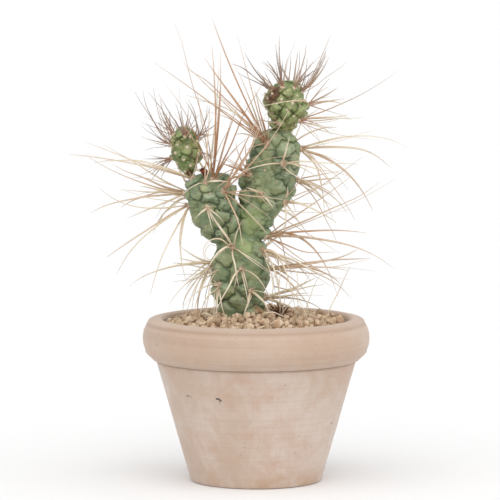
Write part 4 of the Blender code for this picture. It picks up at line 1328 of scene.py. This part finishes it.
tuftShapes = shapeCollection("tufts", [makeTuft(i, woolLook["hairs"], woolLook) for i in range(4)])
smallTufts = shapeCollection(
    "smallTufts", [makeTuft(9 + i, woolLook["smallHairs"], woolLook) for i in range(4)])
woolDice = random.Random(woolLook["seed"])
for name, stem in stems.items():
    parts = []
    wool = youngWool if stem["young"] else areoleWool
    mainSize = woolLook["youngMain" if stem["young"] else "main"]
    minorSize = woolLook["youngMinor" if stem["young"] else "minor"]
    found = [skinTrees[name].find_nearest(Vector(middle)) for _, middle, _ in fans[name]]
    mains = [(np.array(f[0]) + np.array(f[1]) * 0.15, np.array(f[1])) for f in found]
    minors = [spot for spot in minorSpots[name] if spot[0][2] > 100]
    for spots, size, shapes in ((mains, mainSize, tuftShapes), (minors, minorSize, smallTufts)):
        sizes = [size * woolDice.uniform(0.8, 1.15) for _ in spots]
        base = pointMesh(name + "Areoles", [s[0] for s in spots], sizes, [s[1] for s in spots])
        parts.append(throughTree(name + "Wool", base, scatterTree, {
            "Shapes": shapes, "Seed": 3, "Squash": 1.0, "Follow Normal": 1.0, "Material": wool}))
    bm = bmesh.new()
    for part in parts:
        bm.from_mesh(part)
    joined = bpy.data.meshes.new(name + "Wool")
    bm.to_mesh(joined)
    bm.free()
    joined.materials.append(wool)
    piece = linkNew("areoles_on_" + name, joined)
    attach(piece, "root")
emptyCollection(tuftShapes)
emptyCollection(smallTufts)
report("areoles")


# gravel

gravelLook = dict(count=880, small=1.75, large=3.1, tries=60, seed=5, edge=92.5, crown=6.0, settle=0.5,
                  overlap=0.82, shapes=12, bedRings=26, bedSides=96)


def bedHeight(look, radius, mouth):
    return look["edge"] + look["crown"] * (1 - (radius / mouth) ** 2)


def trunkReach(height):
    stem = stems["trunk"]
    along = np.clip((height - stem["foot"][2]) / (stem["tip"][2] - stem["foot"][2]), 0, 1)
    return axisPoint(stem, along), float(stemRadius(stem, np.array(along)))


def dropCrumbs(look, mouth):
    # lets crumbs down one by one, each to the place of several where the heap is thinnest
    dice = np.random.default_rng(look["seed"])
    placed = np.zeros((0, 4))
    trunkMiddle, trunkRadius = trunkReach(99.0)
    while len(placed) < look["count"]:
        size = look["small"] + (look["large"] - look["small"]) * dice.random() ** 1.5
        reach = (mouth - size * 0.95) * np.sqrt(dice.random(look["tries"]))
        turn = dice.random(look["tries"]) * 2 * np.pi
        x, y = reach * np.cos(turn), reach * np.sin(turn)
        bed = bedHeight(look, reach, mouth)
        height = bed + size * look["settle"]
        if len(placed):
            apart = np.hypot(x[:, None] - placed[:, 0], y[:, None] - placed[:, 1])
            touch = (size + placed[:, 3]) * look["overlap"]
            resting = placed[:, 2] + np.sqrt(np.maximum(touch ** 2 - apart ** 2, 0))
            height = np.maximum(height, np.where(apart < touch, resting, -1).max(axis=1))
        blocked = np.hypot(x - trunkMiddle[0], (y - trunkMiddle[1]) / 0.92) < trunkRadius + size * 0.75
        height = np.where(blocked, 999, height)
        best = int((height - bed).argmin())
        if height[best] < 900:
            placed = np.vstack([placed, [x[best], y[best], height[best], size]])
    return placed


def makeCrumb(number):
    # a broken lump: the hull of a few points, its edges worn a little round
    dice = random.Random(number * 13 + 1)
    bm = bmesh.new()
    stretch = Vector((dice.uniform(0.9, 1.25), dice.uniform(0.8, 1.05), dice.uniform(0.7, 0.95)))
    for _ in range(13):
        way = Vector([dice.gauss(0, 1) for _ in range(3)]).normalized() * dice.uniform(0.9, 1.2)
        bm.verts.new(way * stretch)
    hull = bmesh.ops.convex_hull(bm, input=bm.verts)
    bmesh.ops.delete(bm, geom=list({v for v in hull["geom_interior"] + hull["geom_unused"]
                                    if isinstance(v, bmesh.types.BMVert)}), context="VERTS")
    bmesh.ops.subdivide_edges(bm, edges=bm.edges, cuts=1, use_grid_fill=True)
    bmesh.ops.smooth_vert(bm, verts=bm.verts, factor=0.4, use_axis_x=True, use_axis_y=True, use_axis_z=True)
    seed = Vector((number * 5.1, number * 2.3, 1.7))
    for vert in bm.verts:
        vert.co *= 1.08 + 0.3 * noise.noise(vert.co * 1.7 + seed)
    bmesh.ops.recalc_face_normals(bm, faces=bm.faces)
    mesh = bpy.data.meshes.new("crumb")
    bm.to_mesh(mesh)
    bm.free()
    mesh.shade_smooth()
    mesh.set_sharp_from_angle(angle=math.radians(28))
    return mesh


def makeBed(look, mouth):
    # a dark bed under the crumbs: painted shadow in the gaps between them
    low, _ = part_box("gravel")
    radii = mouth * np.linspace(1.0, 0.03, look["bedRings"])
    turn = 2 * np.pi * np.arange(look["bedSides"]) / look["bedSides"]
    bottom = low[2] / mm + 0.1
    layers = [(mouth * 0.5, bottom), (mouth - 0.6, bottom)]
    layers += [(r, None) for r in radii]
    points = np.zeros((len(layers), look["bedSides"], 3))
    for i, (radius, height) in enumerate(layers):
        points[i, :, 0] = radius * np.cos(turn)
        points[i, :, 1] = radius * np.sin(turn)
        points[i, :, 2] = height if height else bedHeight(look, radius, mouth)
    top = points[2:]
    top[..., 2] += 0.7 * noiseAt(top, 3.0, 2.0) + 0.3 * noiseAt(top, 1.2, 8.0)
    # painted shadow, the same all over the bed
    shade = np.full(points.shape[:2], 0.4)
    tone = np.full(points.shape[:2], 0.1)
    poles = (0, 0, bottom), (0, 0, bedHeight(look, 0, mouth))
    return meshFromGrid("gravelBed", points, dict(bedShade=shade, crumbTone=tone), *poles)


def makeGravel(look):
    mouth = (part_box("gravel")[1][0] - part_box("gravel")[0][0]) / 2 / mm + 1.0
    crumbs = dropCrumbs(look, mouth)
    dice = random.Random(look["seed"])
    base = pointMesh("crumbPoints", crumbs[:, :3], crumbs[:, 3], [(0, 0, 1)] * len(crumbs))
    tones = [dice.random() for _ in crumbs]
    base.attributes.new("crumbTone", "FLOAT", "POINT").data.foreach_set("value", np.array(tones, np.float32))
    shapes = shapeCollection("crumbs", [makeCrumb(i) for i in range(look["shapes"])])
    heap = throughTree("crumbHeap", base, scatterTree, {
        "Shapes": shapes, "Seed": 8, "Squash": 0.92, "Follow Normal": 0.0, "Material": crumbClay})
    emptyCollection(shapes)
    bm = bmesh.new()
    bm.from_mesh(heap)
    bm.from_mesh(makeBed(look, mouth - 0.2))
    mesh = bpy.data.meshes.new("gravel")
    bm.to_mesh(mesh)
    bm.free()
    mesh.materials.append(crumbClay)
    return linkNew("gravel_crumbs", mesh), crumbs


gravelPiece, crumbs = makeGravel(gravelLook)
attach(gravelPiece, "root")
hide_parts("gravel")
report("gravel, %d crumbs" % len(crumbs))


# litter on the gravel: fallen spines and a dried tuft

litterLook = dict(
    # fallen spines: start, middle, end, half width
    fallen=[((3, -20, 105.2), (10, -25, 106.8), (19, -28, 103.6), 0.5),
            ((-26, -22, 103.6), (-31, -15, 105), (-37, -10, 102.4), 0.4),
            ((24, -6, 103.8), (31, -12, 104.4), (40, -14, 101.6), 0.45),
            ((-6, 27, 104.2), (-16, 31, 104.8), (-24, 27, 103), 0.45),
            ((22, 20, 104), (27, 27, 104.6), (28, 36, 102.2), 0.4)],
    # dried tufts: middle, reach, strands
    tufts=[((14, -5, 104.4), 7.2, 120), ((-22, 14, 103.6), 5.5, 30)], seed=51)


def makeLitter(look):
    dice = random.Random(look["seed"])
    fallen = [(np.array(line[:3], float), line[3], 0.15, 0.5) for line in look["fallen"]]
    strands = []
    for middle, reach, count in look["tufts"]:
        for _ in range(count):
            turn, rise = dice.uniform(0, 2 * math.pi), dice.uniform(-0.1, 1.1)
            way = np.array([math.cos(turn), math.sin(turn), rise]) * reach * dice.uniform(0.35, 1.0)
            root = np.array(middle) + np.array([dice.gauss(0, 1), dice.gauss(0, 1), -0.6])
            lift = np.array([dice.gauss(0, 0.8), dice.gauss(0, 0.8), dice.uniform(0.3, 1.6)])
            line = np.array([root, root + way * 0.5 + lift, root + way])
            strands.append((line, dice.uniform(0.2, 0.55), 0, dice.uniform(-3, 3)))
    made = []
    for label, lines, material in (("fallen_spines", fallen, strawSpine),
                                   ("dried_tufts", strands, driedBrown)):
        made.append(linkNew(label, sweepLines(label, lines, 9, material, look["seed"])))
        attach(made[-1], "root")
    return made


fallenSpines, driedTufts = makeLitter(litterLook)
report("litter")


# withered bud

budLook = dict(core=4.6, coreRadius=2.0, rings=22, sides=30, scales=13, scaleFoot=1.5, length=4.8,
               width=2.3, lean=(-0.5, -0.6, 0.8))


def makeBud(look):
    low, high = (np.array(corner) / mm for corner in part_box("dried_bud"))
    middle = (low + high) / 2
    up = Vector(look["lean"]).normalized()
    turnTo = up.to_track_quat("Z", "Y").to_matrix()
    rings, sides = look["rings"], look["sides"]
    along = (np.arange(rings) + 0.5) / rings
    turn = 2 * np.pi * np.arange(sides) / sides
    radius = look["coreRadius"] * np.sin(np.pi * along ** 0.8) ** 0.7 * (1 - 0.25 * along)
    local = np.zeros((rings, sides, 3))
    crumple = 1 + 0.12 * np.sin(7 * turn)[None, :] + 0.1 * np.sin(3 * turn + 1)[None, :] * along[:, None]
    local[..., 0] = radius[:, None] * np.cos(turn) * crumple
    local[..., 1] = radius[:, None] * np.sin(turn) * crumple
    local[..., 2] = ((along - 0.5) * look["core"])[:, None]
    spin = np.array(turnTo)
    core = local @ spin.T + middle
    core = core + noiseAt(core, 0.9, 2.0)[..., None] * 0.16
    half = look["core"] / 2 + 0.05
    poles = [tuple(np.array([0, 0, h]) @ spin.T + middle) for h in (-half, half)]
    mesh = meshFromGrid("budCore", core, dict(alongSpine=np.repeat(along[:, None] * 0.7, sides, 1)), *poles)
    bm = bmesh.new()
    bm.from_mesh(mesh)
    layer = bm.verts.layers.float["alongSpine"]
    for k in range(look["scales"]):
        angle = k * goldenAngle
        climb = Vector((0, 0, -1.6 + 0.22 * k))
        base = Vector((math.cos(angle), math.sin(angle), 0)) * look["scaleFoot"] + climb
        addScale(bm, layer, base, angle, look, turnTo, Vector(middle), 0.85 + 0.03 * k)
    bm.to_mesh(mesh)
    bm.free()
    mesh.materials.append(witheredRed)
    mesh.shade_smooth()
    return linkNew("withered_bud", mesh)


def addScale(bm, layer, base, angle, look, turnTo, middle, size):
    # a thin curled scale with a pointed end
    outward = Vector((math.cos(angle), math.sin(angle), 0))
    across = Vector((-math.sin(angle), math.cos(angle), 0))
    rows = []
    for i in range(6):
        s = i / 5
        width = look["width"] * size * (1 - s ** 2.2) * 0.5 + 0.04
        rise = Vector((0, 0, 1)) * look["length"] * 0.5 * size * s
        spine = base + rise + outward * (0.35 * math.sin(s * 2.2))
        row = []
        for sideways, thick in ((-1, 0), (0, 0.16), (1, 0), (0, -0.05)):
            cup = outward * (thick - 0.18 * abs(sideways))
            vert = bm.verts.new((turnTo @ (spine + across * width * sideways + cup) + middle) * mm)
            vert[layer] = s
            row.append(vert)
        rows.append(row)
    for row, following in zip(rows, rows[1:]):
        for i in range(4):
            j = (i + 1) % 4
            bm.faces.new((row[i], row[j], following[j], following[i]))
    bm.faces.new(reversed(rows[0]))
    bm.faces.new(rows[-1])


budPiece = makeBud(budLook)
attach(budPiece, "root")
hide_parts("dried_bud")
report("bud")


# floor and light

studioLook = dict(floorRadius=14.0, floorShade=0.87, worldLight=0.76, worldSeen=1.0,
                  sun=dict(strength=1.1, angle=75, aim=(-36, -26)),
                  fill=dict(strength=0.85, angle=90, aim=(-58, 50)))


def makeFloor(look):
    bm = bmesh.new()
    sides = 96
    rings = [0.3, 1.0, 3.0, look["floorRadius"]]
    last = None
    for radius in rings:
        ring = [bm.verts.new((radius * math.cos(a), radius * math.sin(a), 0))
                for a in np.linspace(0, 2 * math.pi, sides, endpoint=False)]
        if last is None:
            bm.faces.new(ring)
        else:
            for i in range(sides):
                j = (i + 1) % sides
                bm.faces.new((last[i], last[j], ring[j], ring[i]))
        last = ring
    bmesh.ops.recalc_face_normals(bm, faces=bm.faces)
    mesh = bpy.data.meshes.new("floor")
    bm.to_mesh(mesh)
    bm.free()
    material, _, shader = newMaterial("paleFloor")
    shade = look["floorShade"]
    shader.inputs["Base Color"].default_value = (shade, shade, shade, 1)
    shader.inputs["Roughness"].default_value = 0.75
    shader.inputs["Specular IOR Level"].default_value = 0.2
    mesh.materials.append(material)
    floor = linkNew("floor", mesh)
    floor.location.z = -0.1 * mm  # just under the pot's foot


def makeSun(name, strength, angle, aim):
    lamp = bpy.data.lights.new(name, "SUN")
    lamp.energy = strength
    lamp.angle = math.radians(angle)
    holder = bpy.data.objects.new(name, lamp)
    tip, turn = (math.radians(a) for a in aim)
    holder.rotation_euler = (-tip, 0, turn)
    bpy.context.scene.collection.objects.link(holder)


def makeStudio(look):
    world = bpy.data.worlds.new("studio")
    world.use_nodes = True
    tree = world.node_tree
    light = tree.nodes["Background"]
    light.inputs[0].default_value = (1, 1, 1, 1)
    light.inputs[1].default_value = look["worldLight"]
    seen = addNode(tree, "ShaderNodeBackground")
    seen.inputs[1].default_value = look["worldSeen"]
    seen.inputs[0].default_value = (1, 1, 1, 1)
    choose = addNode(tree, "ShaderNodeMixShader")
    path = addNode(tree, "ShaderNodeLightPath")
    tree.links.new(path.outputs["Is Camera Ray"], choose.inputs[0])
    tree.links.new(light.outputs[0], choose.inputs[1])
    tree.links.new(seen.outputs[0], choose.inputs[2])
    tree.links.new(choose.outputs[0], tree.nodes["World Output"].inputs[0])
    bpy.context.scene.world = world
    makeSun("mainSoftLight", **look["sun"])
    makeSun("fillSoftLight", **look["fill"])
    bpy.context.scene.view_settings.view_transform = "Standard"


makeFloor(studioLook)
makeStudio(studioLook)
report("studio")
